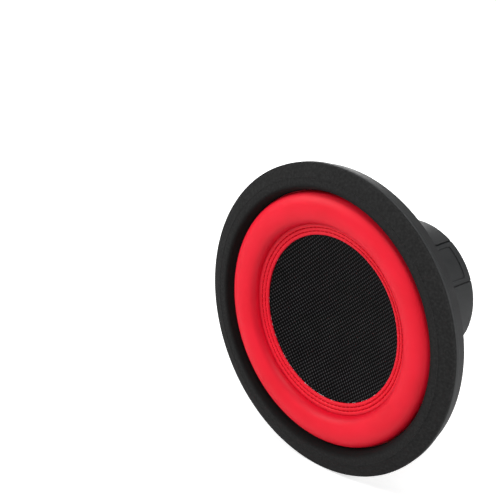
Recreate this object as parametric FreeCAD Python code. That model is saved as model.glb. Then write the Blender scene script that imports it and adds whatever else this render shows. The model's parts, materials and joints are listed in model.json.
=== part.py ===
import FreeCAD, Part
import math
import os
from FreeCAD import Vector

# Eight-inch car subwoofer driver with a double voice coil, as separate pieces in millimetres.
# Each piece is drawn in a working frame: the speaker's axis is Z, its front faces +Z and the
# rear edge of the flange, which meets the baffle, lies at Z = 0. save() then turns it so that
# the front faces -Y and the top faces +Z, with the origin still in the middle of that edge.

# Flange and the screws that hold it to a baffle
MOUTH_RADIUS = 89.0
FLANGE_WIDTH = 16.0
RIM_HEIGHT = 8.0
SHEET = 1.5
BEND = 1.2
BOLT_INSET = 9.0
BOLT_COUNT = 8
BOLT_HOLE_RADIUS = 2.75
SCREW_HEAD_RADIUS = 4.2
SCREW_HEAD_HEIGHT = 3.5

# Pressed steel basket
WALL_TAPER = 11.0
LEDGE_DEPTH = 24.0
LEDGE_WIDTH = 19.0
SEAT_DROP = 23.0
SEAT_INSET = 1.5
BASKET_BORE_GAP = 1.75
WINDOW_COUNT = 8
LEG_ANGLE = 14.0
WINDOW_TOP_BAND = 5.5
WINDOW_BOTTOM_BAND = 5.0
WINDOW_CORNER = 4.0
VENT_SLOT_ANGLE = 12.0
VENT_SLOT_HEIGHT = 9.0
VENT_SLOTS_PER_SIDE = 3
VENT_SLOT_PITCH = 45.0

# Foam rings on the flange
GASKET_OVERHANG = 3.0
GASKET_EDGE_RISE = 6.5
GASKET_RIDGE_RISE = 10.0
GASKET_RIDGE_INSET = 3.1
GASKET_LIP = 2.0
GASKET_ROUNDING = 1.3
GASKET_GAP = 0.4
REAR_GASKET_GAP = 0.3

# Surround: a half roll between two flat feet
SURROUND_THICKNESS = 1.2
SURROUND_OUTER_FOOT = 4.0
SURROUND_INNER_FOOT = 8.2
ROLL_MOUTH_GAP = 0.5
ROLL_WIDTH = 22.0
ROLL_HEIGHT = 8.8
STITCH_INSETS = {"inner": 2.6, "outer": 5.2}
STITCH_WIDTH = 0.8
STITCH_HEIGHT = 0.4

# Cone, its woven cover and the suspension behind it
DISH_DEPTH = 8.0
COVER_THICKNESS = 0.8
RIM_ROLL_GAP = 1.5
RIM_WIDTH = 6.5
CONE_THICKNESS = 1.0
CONE_NECK_DEPTH = 16.5
CONE_COLLAR = 3.5
SPIDER_THICKNESS = 0.5
SPIDER_FOOT_WIDTH = 7.5
SPIDER_FOOT_OVERHANG = 2.0
SPIDER_WAVES = 5
SPIDER_WAVE_HEIGHT = 3.2
SPIDER_COLLAR = 2.6

# Voice coil
FORMER_RADIUS = 25.4
FORMER_WALL = 0.25
FORMER_TAIL = 1.0
WINDING_LAYER = 0.7
WINDING_LENGTH = 22.0

# Magnet assembly
PLATE_INSET = 0.5
PLATE_THICKNESS = 7.0
GAP_CLEARANCE = 0.7
MAGNET_RADIUS = 46.5
MAGNET_BORE_GAP = 3.25
MAGNET_THICKNESS = 20.0
BACK_PLATE_INSET = 1.5
BACK_PLATE_THICKNESS = 6.0
POLE_CLEARANCE = 0.5
VENT_RADIUS = 9.0
VENT_BOSS_WALL = 15.0
VENT_BOSS_HEIGHT = 2.0
MESH_EDGE = 2.5
MESH_THICKNESS = 0.6
MESH_GAP = 0.2
MESH_HOLE_RADIUS = 0.9
MESH_PITCH = 2.9
PLATE_SCREW_SEAT_SHARE = 0.3871
PLATE_SCREW_COUNT = 4
PLATE_SCREW_RADIUS = 2.5
PLATE_SCREW_LENGTH = 7.0
PLATE_SCREW_HEAD_RADIUS = 4.5
PLATE_SCREW_HEAD_HEIGHT = 2.4

# Rubber boot over the magnet
BOOT_GAP = 0.3
BOOT_WALL = 1.7
BOOT_PAD_HEIGHT = 1.2
BOOT_BAND_DROP = 0.6
BOOT_FRONT_GAP = 0.2
BOOT_LIP_THICKNESS = 2.0
BOOT_LIP_REACH = 10.2
BOOT_ROUNDING = 2.2
BOOT_PANEL_ANGLES = (41.5, 138.5, 221.5, 318.5)
BOOT_PANEL_SPAN = 28.8
BOOT_PANEL_MARGIN = 3.5
BOOT_GROOVE_ANGLE = 18.2
BOOT_GROOVE_WIDTH = 1.0
BOOT_GROOVE_DEPTH = 1.6

# Push terminals: two blocks on opposite sides of the basket, each below a window
TERMINAL_ANGLES = {"upper": 112.5, "lower": 292.5}
BLOCK_HALF_WIDTH = 17.0
BLOCK_DEPTH = 11.0
BLOCK_HEIGHT = 14.0
BLOCK_FOOT_THICKNESS = 2.5
BLOCK_FOOT_HALF_WIDTH = 20.0
BLOCK_LEDGE_INSET = 5.5
COVER_PLATE = 1.5
POST_SPACING = 16.0
POST_DROP = 7.5
SLEEVE_RADIUS = 5.5
SLEEVE_LENGTH = 5.5
SLEEVE_MOUTH = 1.0
PLUNGER_RADIUS = 3.5
PLUNGER_CLEARANCE = 0.1
CONTACT_WALL = 0.7
PLUNGER_FLANGE = 1.4
BUTTON_TRAVEL = 3.0
BUTTON_STOP_GAP = 0.2
CAP_RADIUS = 5.3
CAP_LENGTH = 3.5
WIRE_HOLE_RADIUS = 1.9
WIRE_HOLE_SETBACK = 3.1
SPRING_WIRE_RADIUS = 0.25
SPRING_RADIUS = 2.7
SPRING_TURNS = 4.5
SPRING_END_GAP = 0.05
TAB_THICKNESS = 0.8
TAB_WIDTH = 5.0
TAB_ROOF = 0.6
TAB_WALL_GAP = 4.0
TAB_TOP_DEPTH = 14.4
TAB_HOLE_RADIUS = 0.6
TAB_HOLE_INSET = 1.4
TERMINAL_RIVET_RADIUS = 1.6
TERMINAL_RIVET_HEAD_RADIUS = 2.6
TERMINAL_RIVET_HEAD_HEIGHT = 1.0
TERMINAL_RIVET_SPACING = 30.0
TERMINAL_RIVET_GAP = 0.9

# Braided leads from the terminals to the cone
LEAD_RADIUS = 0.7
LEAD_DEPTH = 17.4
LEAD_RIVET_X = 42.5
LEAD_RIVET_RADIUS = 1.8
LEAD_RIVET_PROUD = 0.9
# Points between the tab and the rivet: distance from the axis, shift sideways and depth
LEAD_BENDS = (
    (75.0, 0.0, 17.4),
    (66.4, 0.5, 19.0),
    (57.8, 0.9, 18.9),
    (49.6, 0.5, 18.0),
)
LEAD_RISE = 6.4
# Share of the shorter run that the arc at a bend takes up
LEAD_ARC_SHARE = 0.45

# Radii and heights that several pieces share
FLANGE_RADIUS = MOUTH_RADIUS + FLANGE_WIDTH
BOLT_CIRCLE_RADIUS = MOUTH_RADIUS + BOLT_INSET
GASKET_RADIUS = FLANGE_RADIUS + GASKET_OVERHANG
LEDGE_OUTER_RADIUS = MOUTH_RADIUS - WALL_TAPER
LEDGE_INNER_RADIUS = LEDGE_OUTER_RADIUS - LEDGE_WIDTH
BASKET_DEPTH = LEDGE_DEPTH + SEAT_DROP
ROLL_OUTER_RADIUS = MOUTH_RADIUS - ROLL_MOUTH_GAP
ROLL_INNER_RADIUS = ROLL_OUTER_RADIUS - ROLL_WIDTH
DISH_RADIUS = ROLL_INNER_RADIUS - SURROUND_INNER_FOOT
RIM_RADIUS = ROLL_INNER_RADIUS - RIM_ROLL_GAP
CONE_SHOULDER_RADIUS = RIM_RADIUS - RIM_WIDTH
SPIDER_RADIUS = LEDGE_INNER_RADIUS + SPIDER_FOOT_OVERHANG + SPIDER_FOOT_WIDTH
SURROUND_TOP = RIM_HEIGHT + SURROUND_THICKNESS
CONE_RIM_TOP = RIM_HEIGHT - COVER_THICKNESS
BASKET_BOTTOM = -BASKET_DEPTH - SHEET
LEDGE_UNDERSIDE = -LEDGE_DEPTH - SHEET
PLATE_BOTTOM = BASKET_BOTTOM - PLATE_THICKNESS
MAGNET_BOTTOM = PLATE_BOTTOM - MAGNET_THICKNESS
BACK_PLATE_BOTTOM = MAGNET_BOTTOM - BACK_PLATE_THICKNESS
FORMER_OUTER = FORMER_RADIUS + FORMER_WALL
WINDING_MIDDLE = FORMER_OUTER + WINDING_LAYER
WINDING_OUTER = WINDING_MIDDLE + WINDING_LAYER
PLATE_BORE_RADIUS = WINDING_OUTER + GAP_CLEARANCE
BASKET_BORE_RADIUS = PLATE_BORE_RADIUS + BASKET_BORE_GAP
PLATE_RADIUS = MAGNET_RADIUS - PLATE_INSET
PLATE_SEAT_RADIUS = MAGNET_RADIUS - SEAT_INSET
PLATE_SEAT_WIDTH = PLATE_SEAT_RADIUS - BASKET_BORE_RADIUS
PLATE_SCREW_CIRCLE_RADIUS = BASKET_BORE_RADIUS + PLATE_SCREW_SEAT_SHARE * PLATE_SEAT_WIDTH
BACK_PLATE_RADIUS = MAGNET_RADIUS - BACK_PLATE_INSET
MAGNET_BORE_RADIUS = PLATE_BORE_RADIUS + MAGNET_BORE_GAP
VENT_BOSS_RADIUS = VENT_RADIUS + VENT_BOSS_WALL
MESH_RADIUS = VENT_RADIUS + MESH_EDGE
GAP_MIDDLE = BASKET_BOTTOM - PLATE_THICKNESS / 2
WINDING_BOTTOM = GAP_MIDDLE - WINDING_LENGTH / 2
BOOT_INNER = MAGNET_RADIUS + BOOT_GAP
BOOT_PANEL_RADIUS = BOOT_INNER + BOOT_WALL
BOOT_RADIUS = BOOT_PANEL_RADIUS + BOOT_PAD_HEIGHT
BOOT_LIP_RADIUS = BOOT_RADIUS - BOOT_LIP_REACH
BLOCK_INNER_X = LEDGE_INNER_RADIUS + BLOCK_LEDGE_INSET
BLOCK_TOP = LEDGE_UNDERSIDE - BLOCK_FOOT_THICKNESS
BLOCK_OUTER_X = BLOCK_INNER_X + BLOCK_DEPTH
POST_Z = BLOCK_TOP - POST_DROP
LINER_INNER = PLUNGER_RADIUS + PLUNGER_CLEARANCE
LINER_OUTER = LINER_INNER + CONTACT_WALL
SLEEVE_END_X = BLOCK_OUTER_X + SLEEVE_LENGTH
LINER_END_X = SLEEVE_END_X - SLEEVE_MOUTH
LINER_START_X = BLOCK_OUTER_X - BUTTON_TRAVEL
CAP_X = SLEEVE_END_X + BUTTON_TRAVEL + BUTTON_STOP_GAP
WIRE_HOLE_X = SLEEVE_END_X - WIRE_HOLE_SETBACK
TAB_X = LEDGE_OUTER_RADIUS + TAB_WALL_GAP
TERMINAL_RIVET_X = SPIDER_RADIUS + TERMINAL_RIVET_HEAD_RADIUS + TERMINAL_RIVET_GAP

AXIS = Vector(0, 0, 1)
OUTWARD = Vector(1, 0, 0)
ORIGIN = Vector(0, 0, 0)


def at(radius, height):
    """A point of a section, which lies in the plane of the X and Z axes."""
    return Vector(radius, 0, height)


def line(start, end):
    return Part.LineSegment(start, end).toShape()


def revolve(edges):
    """The solid that a closed section sweeps around the speaker's axis."""
    section = Part.Face(Part.Wire(Part.sortEdges(edges)[0]))
    return section.revolve(ORIGIN, AXIS, 360)


def cylinder(radius, start, length, direction=AXIS):
    return Part.makeCylinder(radius, length, start, direction)


def disc(radius, bottom, top):
    return cylinder(radius, at(0, bottom), top - bottom)


def ring(inner, outer, bottom, top):
    return disc(outer, bottom, top).cut(disc(inner, bottom, top))


def block(x_range, half_width, z_range, centre_y=0.0):
    corner = Vector(x_range[0], centre_y - half_width, z_range[0])
    return Part.makeBox(x_range[1] - x_range[0], 2 * half_width, z_range[1] - z_range[0], corner)


def around(shape, angles):
    """Copies of a shape turned about the speaker's axis."""
    copies = []
    for angle in angles:
        turned = shape.copy()
        turned.rotate(ORIGIN, AXIS, angle)
        copies.append(turned)
    return copies


def spread(count, first=0.0):
    return [first + 360.0 * index / count for index in range(count)]


def rounded_edges(points, radii):
    """Lines through the points, joined by an arc of the given radius at each inner one."""
    edges = []
    start = points[0]
    for before, corner, after, radius in zip(points, points[1:], points[2:], radii):
        back = (before - corner).normalize()
        ahead = (after - corner).normalize()
        half_angle = back.getAngle(ahead) / 2
        setback = radius / math.tan(half_angle)
        bisector = (back + ahead).normalize()
        middle = corner + bisector * (radius / math.sin(half_angle) - radius)
        arc_start = corner + back * setback
        arc_end = corner + ahead * setback
        edges.append(line(start, arc_start))
        edges.append(Part.Arc(arc_start, middle, arc_end).toShape())
        start = arc_end
    edges.append(line(start, points[-1]))
    return edges


def sheet(front, thickness, bend):
    """Bent sheet revolved about the axis. Its front surface follows the points, which run
    inwards, and its material lies behind them. bend is the radius inside each bend."""
    ways = [(b - a).normalize() for a, b in zip(front, front[1:])]
    behind = [Vector(-way.z, 0, way.x) for way in ways]
    rear = [front[0] + behind[0] * thickness]
    front_radii = []
    for corner, first, second in zip(front[1:-1], behind, behind[1:]):
        rear.append(corner + (first + second) * (thickness / (1 + first.dot(second))))
        bends_forward = first.cross(second).y > 0
        front_radii.append(bend if bends_forward else bend + thickness)
    rear.append(front[-1] + behind[-1] * thickness)
    rear_radii = [2 * bend + thickness - radius for radius in front_radii]
    edges = rounded_edges(front, front_radii) + rounded_edges(rear, rear_radii)
    edges.append(line(front[0], rear[0]))
    edges.append(line(front[-1], rear[-1]))
    return revolve(edges)


def sector(inner, outer, bottom, top, middle_angle, span, corner=0.0):
    """A block bounded by two radii, two heights and two radial planes."""
    edges = [
        line(at(inner, bottom), at(outer, bottom)),
        line(at(outer, bottom), at(outer, top)),
        line(at(outer, top), at(inner, top)),
        line(at(inner, top), at(inner, bottom)),
    ]
    section = Part.Face(Part.Wire(edges))
    solid = section.revolve(ORIGIN, AXIS, span)
    if corner:
        radial = [edge for edge in solid.Edges if is_radial(edge)]
        solid = solid.makeFillet(corner, radial)
    solid.rotate(ORIGIN, AXIS, middle_angle - span / 2)
    return solid


def is_radial(edge):
    first, last = edge.Vertexes[0].Point, edge.Vertexes[-1].Point
    return abs(first.z - last.z) < 1e-6 and edge.Curve.TypeId == "Part::GeomLine"


def save(name, shape):
    """Turn a finished piece from the working frame to the part's own and write it."""
    shape = shape.copy()
    shape.rotate(ORIGIN, Vector(1, 0, 0), 90)
    shape.exportStep(f"parts/{name}.step")


def bolt_places():
    first = at(BOLT_CIRCLE_RADIUS, 0)
    return [FreeCAD.Rotation(AXIS, angle).multVec(first) for angle in spread(BOLT_COUNT)]


def make_basket():
    """One steel pressing: turned-back rim, flange, legs, spider ledge and magnet seat."""
    front = [
        at(FLANGE_RADIUS, 0),
        at(FLANGE_RADIUS, RIM_HEIGHT),
        at(MOUTH_RADIUS, RIM_HEIGHT),
        at(LEDGE_OUTER_RADIUS, -LEDGE_DEPTH),
        at(LEDGE_INNER_RADIUS, -LEDGE_DEPTH),
        at(PLATE_SEAT_RADIUS, -BASKET_DEPTH),
        at(BASKET_BORE_RADIUS, -BASKET_DEPTH),
    ]
    basket = sheet(front, SHEET, BEND)
    window = sector(
        LEDGE_INNER_RADIUS,
        MOUTH_RADIUS + 2 * SHEET,
        WINDOW_BOTTOM_BAND - LEDGE_DEPTH,
        RIM_HEIGHT - WINDOW_TOP_BAND,
        0,
        360.0 / WINDOW_COUNT - LEG_ANGLE,
        WINDOW_CORNER,
    )
    cuts = around(window, spread(WINDOW_COUNT, 180.0 / WINDOW_COUNT))
    slot_middle = (-LEDGE_DEPTH - BASKET_DEPTH) / 2
    slot = sector(
        BASKET_BORE_RADIUS,
        LEDGE_OUTER_RADIUS,
        slot_middle - VENT_SLOT_HEIGHT / 2,
        slot_middle + VENT_SLOT_HEIGHT / 2,
        0,
        VENT_SLOT_ANGLE,
        VENT_SLOT_HEIGHT / 4,
    )
    first_slot = 90 - VENT_SLOT_PITCH * (VENT_SLOTS_PER_SIDE - 1) / 2
    for terminal_angle in TERMINAL_ANGLES.values():
        for index in range(VENT_SLOTS_PER_SIDE):
            cuts += around(slot, [terminal_angle + first_slot + VENT_SLOT_PITCH * index])
    for place in bolt_places():
        cuts.append(cylinder(BOLT_HOLE_RADIUS, place, RIM_HEIGHT))
    cuts += plate_screw_shanks()
    cuts += around(Part.makeCompound(terminal_rivet_shanks()), TERMINAL_ANGLES.values())
    return basket.cut(cuts)


def make_front_gasket():
    """Foam trim ring. Its underside clears the surround's foot and the screw heads."""
    lip_radius = ROLL_OUTER_RADIUS + GASKET_GAP
    step_radius = ROLL_OUTER_RADIUS + SURROUND_OUTER_FOOT + GASKET_GAP
    lip_top = SURROUND_TOP + GASKET_LIP
    face = [
        at(lip_radius, SURROUND_TOP),
        at(lip_radius, lip_top),
        at(lip_radius + GASKET_RIDGE_INSET, RIM_HEIGHT + GASKET_RIDGE_RISE),
        at(GASKET_RADIUS, RIM_HEIGHT + GASKET_EDGE_RISE),
        at(GASKET_RADIUS, RIM_HEIGHT),
    ]
    edges = rounded_edges(face, [GASKET_ROUNDING / 2, GASKET_ROUNDING, GASKET_ROUNDING])
    edges.append(line(face[-1], at(step_radius, RIM_HEIGHT)))
    edges.append(line(at(step_radius, RIM_HEIGHT), at(step_radius, SURROUND_TOP)))
    edges.append(line(at(step_radius, SURROUND_TOP), face[0]))
    pockets = []
    for place in bolt_places():
        start = place + AXIS * RIM_HEIGHT
        pockets.append(cylinder(SCREW_HEAD_RADIUS, start, SCREW_HEAD_HEIGHT))
    return revolve(edges).cut(pockets)


def make_rear_gasket():
    """Foam seal that fills the hollow behind the flange, flush with the rim's edge."""
    inner = MOUTH_RADIUS + SHEET + BEND + REAR_GASKET_GAP
    outer = FLANGE_RADIUS - SHEET - BEND - REAR_GASKET_GAP
    holes = [cylinder(BOLT_HOLE_RADIUS, place, RIM_HEIGHT) for place in bolt_places()]
    return ring(inner, outer, 0, RIM_HEIGHT - SHEET).cut(holes)


def make_surround():
    """Half roll with a flat foot on the flange and another on the cone's rim."""
    half_width = (ROLL_OUTER_RADIUS - ROLL_INNER_RADIUS) / 2
    middle = (ROLL_OUTER_RADIUS + ROLL_INNER_RADIUS) / 2
    crest = SURROUND_TOP + ROLL_HEIGHT
    roll_radius = (half_width**2 + ROLL_HEIGHT**2) / (2 * ROLL_HEIGHT)
    centre_height = crest - roll_radius
    inner_radius = roll_radius - SURROUND_THICKNESS
    inner_half = math.sqrt(inner_radius**2 - (RIM_HEIGHT - centre_height) ** 2)
    foot_end = ROLL_OUTER_RADIUS + SURROUND_OUTER_FOOT
    outer_arc = Part.Arc(
        at(ROLL_OUTER_RADIUS, SURROUND_TOP), at(middle, crest), at(ROLL_INNER_RADIUS, SURROUND_TOP)
    )
    inner_arc = Part.Arc(
        at(middle - inner_half, RIM_HEIGHT),
        at(middle, crest - SURROUND_THICKNESS),
        at(middle + inner_half, RIM_HEIGHT),
    )
    edges = [
        line(at(foot_end, SURROUND_TOP), at(ROLL_OUTER_RADIUS, SURROUND_TOP)),
        outer_arc.toShape(),
        line(at(ROLL_INNER_RADIUS, SURROUND_TOP), at(DISH_RADIUS, SURROUND_TOP)),
        line(at(DISH_RADIUS, SURROUND_TOP), at(DISH_RADIUS, RIM_HEIGHT)),
        line(at(DISH_RADIUS, RIM_HEIGHT), at(middle - inner_half, RIM_HEIGHT)),
        inner_arc.toShape(),
        line(at(middle + inner_half, RIM_HEIGHT), at(foot_end, RIM_HEIGHT)),
        line(at(foot_end, RIM_HEIGHT), at(foot_end, SURROUND_TOP)),
    ]
    return revolve(edges)


def make_stitch_row(inset):
    radius = DISH_RADIUS + inset
    half = STITCH_WIDTH / 2
    return ring(radius - half, radius + half, SURROUND_TOP, SURROUND_TOP + STITCH_HEIGHT)


def make_cone_cover():
    """Shallow woven dish with a flat rim under the surround's inner foot."""
    lowest = RIM_HEIGHT - DISH_DEPTH
    sphere = (DISH_RADIUS**2 + DISH_DEPTH**2) / (2 * DISH_DEPTH)
    centre_height = lowest + sphere
    rear_sphere = sphere + COVER_THICKNESS
    rear_radius = math.sqrt(rear_sphere**2 - (centre_height - CONE_RIM_TOP) ** 2)

    def arc(sphere_radius, end_radius, end_height):
        middle_radius = end_radius / 2
        middle_height = centre_height - math.sqrt(sphere_radius**2 - middle_radius**2)
        start = at(0, centre_height - sphere_radius)
        middle = at(middle_radius, middle_height)
        return Part.Arc(start, middle, at(end_radius, end_height)).toShape()

    edges = [
        arc(sphere, DISH_RADIUS, RIM_HEIGHT),
        line(at(DISH_RADIUS, RIM_HEIGHT), at(RIM_RADIUS, RIM_HEIGHT)),
        line(at(RIM_RADIUS, RIM_HEIGHT), at(RIM_RADIUS, CONE_RIM_TOP)),
        line(at(RIM_RADIUS, CONE_RIM_TOP), at(rear_radius, CONE_RIM_TOP)),
        arc(rear_sphere, rear_radius, CONE_RIM_TOP),
        line(at(0, lowest - COVER_THICKNESS), at(0, lowest)),
    ]
    return revolve(edges)


def make_cone_body():
    """Pressed paper cone from the rim down to a collar around the coil former."""
    front = [
        at(RIM_RADIUS, CONE_RIM_TOP),
        at(CONE_SHOULDER_RADIUS, CONE_RIM_TOP),
        at(FORMER_OUTER, -CONE_NECK_DEPTH),
        at(FORMER_OUTER, -CONE_NECK_DEPTH - CONE_COLLAR),
    ]
    return sheet(front, CONE_THICKNESS, CONE_THICKNESS).cut(make_lead_rivets())


def make_spider():
    """Corrugated centring disc from the ledge to a collar on the coil former."""
    foot_top = SPIDER_THICKNESS - LEDGE_DEPTH
    wave_start = SPIDER_RADIUS - SPIDER_FOOT_WIDTH
    wave_end = FORMER_OUTER + SPIDER_COLLAR
    step = (wave_start - wave_end) / (2 * SPIDER_WAVES)
    front = [at(SPIDER_RADIUS, foot_top), at(wave_start, foot_top)]
    for index in range(1, 2 * SPIDER_WAVES):
        height = foot_top + (SPIDER_WAVE_HEIGHT if index % 2 else 0)
        front.append(at(wave_start - step * index, height))
    front.append(at(wave_end, foot_top + SPIDER_WAVE_HEIGHT / 2))
    front.append(at(FORMER_OUTER, foot_top + SPIDER_WAVE_HEIGHT / 2))
    return sheet(front, SPIDER_THICKNESS, SPIDER_THICKNESS)


def make_coil_former():
    return ring(FORMER_RADIUS, FORMER_OUTER, WINDING_BOTTOM - FORMER_TAIL, -CONE_NECK_DEPTH)


def make_winding(inner):
    """One of the two coils, centred on the top plate's thickness when the cone is at rest."""
    return ring(inner, inner + WINDING_LAYER, WINDING_BOTTOM, WINDING_BOTTOM + WINDING_LENGTH)


def plate_screw_places():
    first = at(PLATE_SCREW_CIRCLE_RADIUS, -BASKET_DEPTH)
    angles = spread(PLATE_SCREW_COUNT, 180.0 / PLATE_SCREW_COUNT)
    return [FreeCAD.Rotation(AXIS, angle).multVec(first) for angle in angles]


def plate_screw_shanks():
    places = plate_screw_places()
    return [cylinder(PLATE_SCREW_RADIUS, place, PLATE_SCREW_LENGTH, -AXIS) for place in places]


def make_plate_screws():
    """Socket screws with domed heads that hold the basket to the top plate."""
    screws = []
    for place, shank in zip(plate_screw_places(), plate_screw_shanks()):
        head = cylinder(PLATE_SCREW_HEAD_RADIUS, place, PLATE_SCREW_HEAD_HEIGHT)
        head = head.makeFillet(PLATE_SCREW_HEAD_HEIGHT / 2, [top_edge(head)])
        socket_start = place + AXIS * (PLATE_SCREW_HEAD_HEIGHT / 2)
        socket = cylinder(PLATE_SCREW_RADIUS / 2, socket_start, PLATE_SCREW_HEAD_HEIGHT)
        screws.append(head.fuse(shank).removeSplitter().cut(socket))
    return Part.makeCompound(screws)


def top_edge(shape):
    return max(shape.Edges, key=lambda edge: edge.CenterOfMass.z)


def make_top_plate():
    plate = ring(PLATE_BORE_RADIUS, PLATE_RADIUS, PLATE_BOTTOM, BASKET_BOTTOM)
    return plate.cut(plate_screw_shanks())


def make_magnet_ring():
    return ring(MAGNET_BORE_RADIUS, MAGNET_RADIUS, MAGNET_BOTTOM, PLATE_BOTTOM)


def make_yoke():
    """Back plate and centre pole in one turned piece, with a vent through both."""
    boss_bottom = BACK_PLATE_BOTTOM - VENT_BOSS_HEIGHT
    plate = disc(BACK_PLATE_RADIUS, BACK_PLATE_BOTTOM, MAGNET_BOTTOM)
    pole = disc(FORMER_RADIUS - POLE_CLEARANCE, MAGNET_BOTTOM, BASKET_BOTTOM)
    boss = disc(VENT_BOSS_RADIUS, boss_bottom, BACK_PLATE_BOTTOM)
    vent = disc(VENT_RADIUS, boss_bottom, BASKET_BOTTOM)
    seat = disc(MESH_RADIUS + MESH_GAP, boss_bottom, boss_bottom + 2 * MESH_THICKNESS)
    return plate.fuse([pole, boss]).removeSplitter().cut([vent, seat])


def make_vent_mesh():
    """Perforated screen that sits in a recess at the vent's rear mouth."""
    top = BACK_PLATE_BOTTOM - VENT_BOSS_HEIGHT + 2 * MESH_THICKNESS
    bottom = top - MESH_THICKNESS
    limit = VENT_RADIUS - MESH_HOLE_RADIUS
    reach = int(VENT_RADIUS / MESH_PITCH) + 1
    holes = []
    for row in range(-reach, reach + 1):
        for column in range(-reach, reach + 1):
            x = MESH_PITCH * (column + row / 2)
            y = MESH_PITCH * row * math.sqrt(3) / 2
            if math.hypot(x, y) <= limit:
                holes.append(cylinder(MESH_HOLE_RADIUS, Vector(x, y, bottom), MESH_THICKNESS))
    return disc(MESH_RADIUS, bottom, top).cut(holes)


def make_magnet_boot():
    """Rubber cup with four lowered bands, each between two grooves and around a deeper panel."""
    front = BASKET_BOTTOM - BOOT_FRONT_GAP
    rear = BACK_PLATE_BOTTOM - BOOT_LIP_THICKNESS
    body = disc(BOOT_RADIUS, rear, front)
    rear_rim = min(body.Edges, key=lambda edge: edge.CenterOfMass.z)
    boot = body.makeFillet(BOOT_ROUNDING, [rear_rim])
    cuts = [disc(BOOT_INNER, BACK_PLATE_BOTTOM, front), disc(BOOT_LIP_RADIUS, rear, front)]
    outside = BOOT_RADIUS + BOOT_PAD_HEIGHT
    panel_bottom = rear + BOOT_ROUNDING + BOOT_PANEL_MARGIN
    panel_top = front - BOOT_PANEL_MARGIN
    groove = block(
        (BOOT_RADIUS - BOOT_GROOVE_DEPTH, outside), BOOT_GROOVE_WIDTH / 2, (rear, front)
    )
    for angle in BOOT_PANEL_ANGLES:
        cuts.append(
            sector(BOOT_PANEL_RADIUS, outside, panel_bottom, panel_top, angle, BOOT_PANEL_SPAN)
        )
        band = BOOT_RADIUS - BOOT_BAND_DROP
        cuts.append(sector(band, outside, rear, front, angle, 2 * BOOT_GROOVE_ANGLE))
        cuts += around(groove, [angle - BOOT_GROOVE_ANGLE, angle + BOOT_GROOVE_ANGLE])
    return boot.cut(cuts)


def post_cylinder(radius, x_start, x_end, post_y):
    return cylinder(radius, Vector(x_start, post_y, POST_Z), x_end - x_start, OUTWARD)


def wire_hole(x, post_y):
    """A hole across a post, parallel to the speaker's axis."""
    start = Vector(x, post_y, POST_Z - SLEEVE_RADIUS)
    return cylinder(WIRE_HOLE_RADIUS, start, 2 * SLEEVE_RADIUS)


def make_contact(post_y):
    """Brass liner around the plunger, with a strip that rises outside to a solder tab."""
    strip_top = BLOCK_TOP - TAB_ROOF
    strip_bottom = strip_top - TAB_THICKNESS
    liner = post_cylinder(LINER_OUTER, LINER_START_X, LINER_END_X, post_y)
    riser = block(
        (LINER_START_X, LINER_START_X + TAB_THICKNESS), TAB_WIDTH / 2, (POST_Z, strip_top), post_y
    )
    tab_end = TAB_X + TAB_THICKNESS
    strip = block((LINER_START_X, tab_end), TAB_WIDTH / 2, (strip_bottom, strip_top), post_y)
    tab = block((TAB_X, tab_end), TAB_WIDTH / 2, (strip_bottom, -TAB_TOP_DEPTH), post_y)
    bore = post_cylinder(LINER_INNER, LINER_START_X, LINER_END_X, post_y)
    hole_start = Vector(TAB_X, post_y, -TAB_TOP_DEPTH - TAB_HOLE_INSET)
    tab_hole = cylinder(TAB_HOLE_RADIUS, hole_start, TAB_THICKNESS, OUTWARD)
    contact = liner.fuse([riser, strip, tab]).removeSplitter()
    return contact.cut([bore, tab_hole, wire_hole(WIRE_HOLE_X, post_y)])


def post_places():
    return {"positive": POST_SPACING / 2, "negative": -POST_SPACING / 2}


def make_terminal_block():
    """Moulded housing under the spider ledge, with a sleeve for each push button."""
    block_bottom = BLOCK_TOP - BLOCK_HEIGHT
    body = block((BLOCK_INNER_X, BLOCK_OUTER_X), BLOCK_HALF_WIDTH, (block_bottom, BLOCK_TOP))
    foot = block((BLOCK_INNER_X, BLOCK_OUTER_X), BLOCK_FOOT_HALF_WIDTH, (BLOCK_TOP, LEDGE_UNDERSIDE))
    sleeves = []
    cuts = terminal_rivet_shanks()
    for post_y in post_places().values():
        sleeves.append(post_cylinder(SLEEVE_RADIUS, BLOCK_INNER_X, SLEEVE_END_X, post_y))
        cuts.append(post_cylinder(LINER_OUTER, BLOCK_INNER_X, LINER_END_X, post_y))
        cuts.append(post_cylinder(LINER_INNER, LINER_END_X, SLEEVE_END_X, post_y))
        cuts.append(wire_hole(WIRE_HOLE_X, post_y))
        cuts.append(make_contact(post_y))
    return body.fuse([foot] + sleeves).removeSplitter().cut(cuts)


def make_terminal_cover():
    """Plate that closes the back of the block and carries the springs."""
    z_range = (BLOCK_TOP - BLOCK_HEIGHT, BLOCK_TOP)
    return block((BLOCK_INNER_X - COVER_PLATE, BLOCK_INNER_X), BLOCK_HALF_WIDTH, z_range)


def make_button(post_y):
    """Plunger with a stop flange behind the liner, a cap outside and a hole for the wire."""
    flange = post_cylinder(
        LINER_OUTER - PLUNGER_CLEARANCE, LINER_START_X - PLUNGER_FLANGE, LINER_START_X, post_y
    )
    stem = post_cylinder(PLUNGER_RADIUS, LINER_START_X - PLUNGER_FLANGE, CAP_X, post_y)
    cap = post_cylinder(CAP_RADIUS, CAP_X, CAP_X + CAP_LENGTH, post_y)
    outer_edge = max(cap.Edges, key=lambda edge: edge.CenterOfMass.x)
    cap = cap.makeFillet(CAP_LENGTH / 4, [outer_edge])
    button = stem.fuse([flange, cap]).removeSplitter()
    return button.cut(wire_hole(WIRE_HOLE_X + BUTTON_TRAVEL, post_y))


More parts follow.
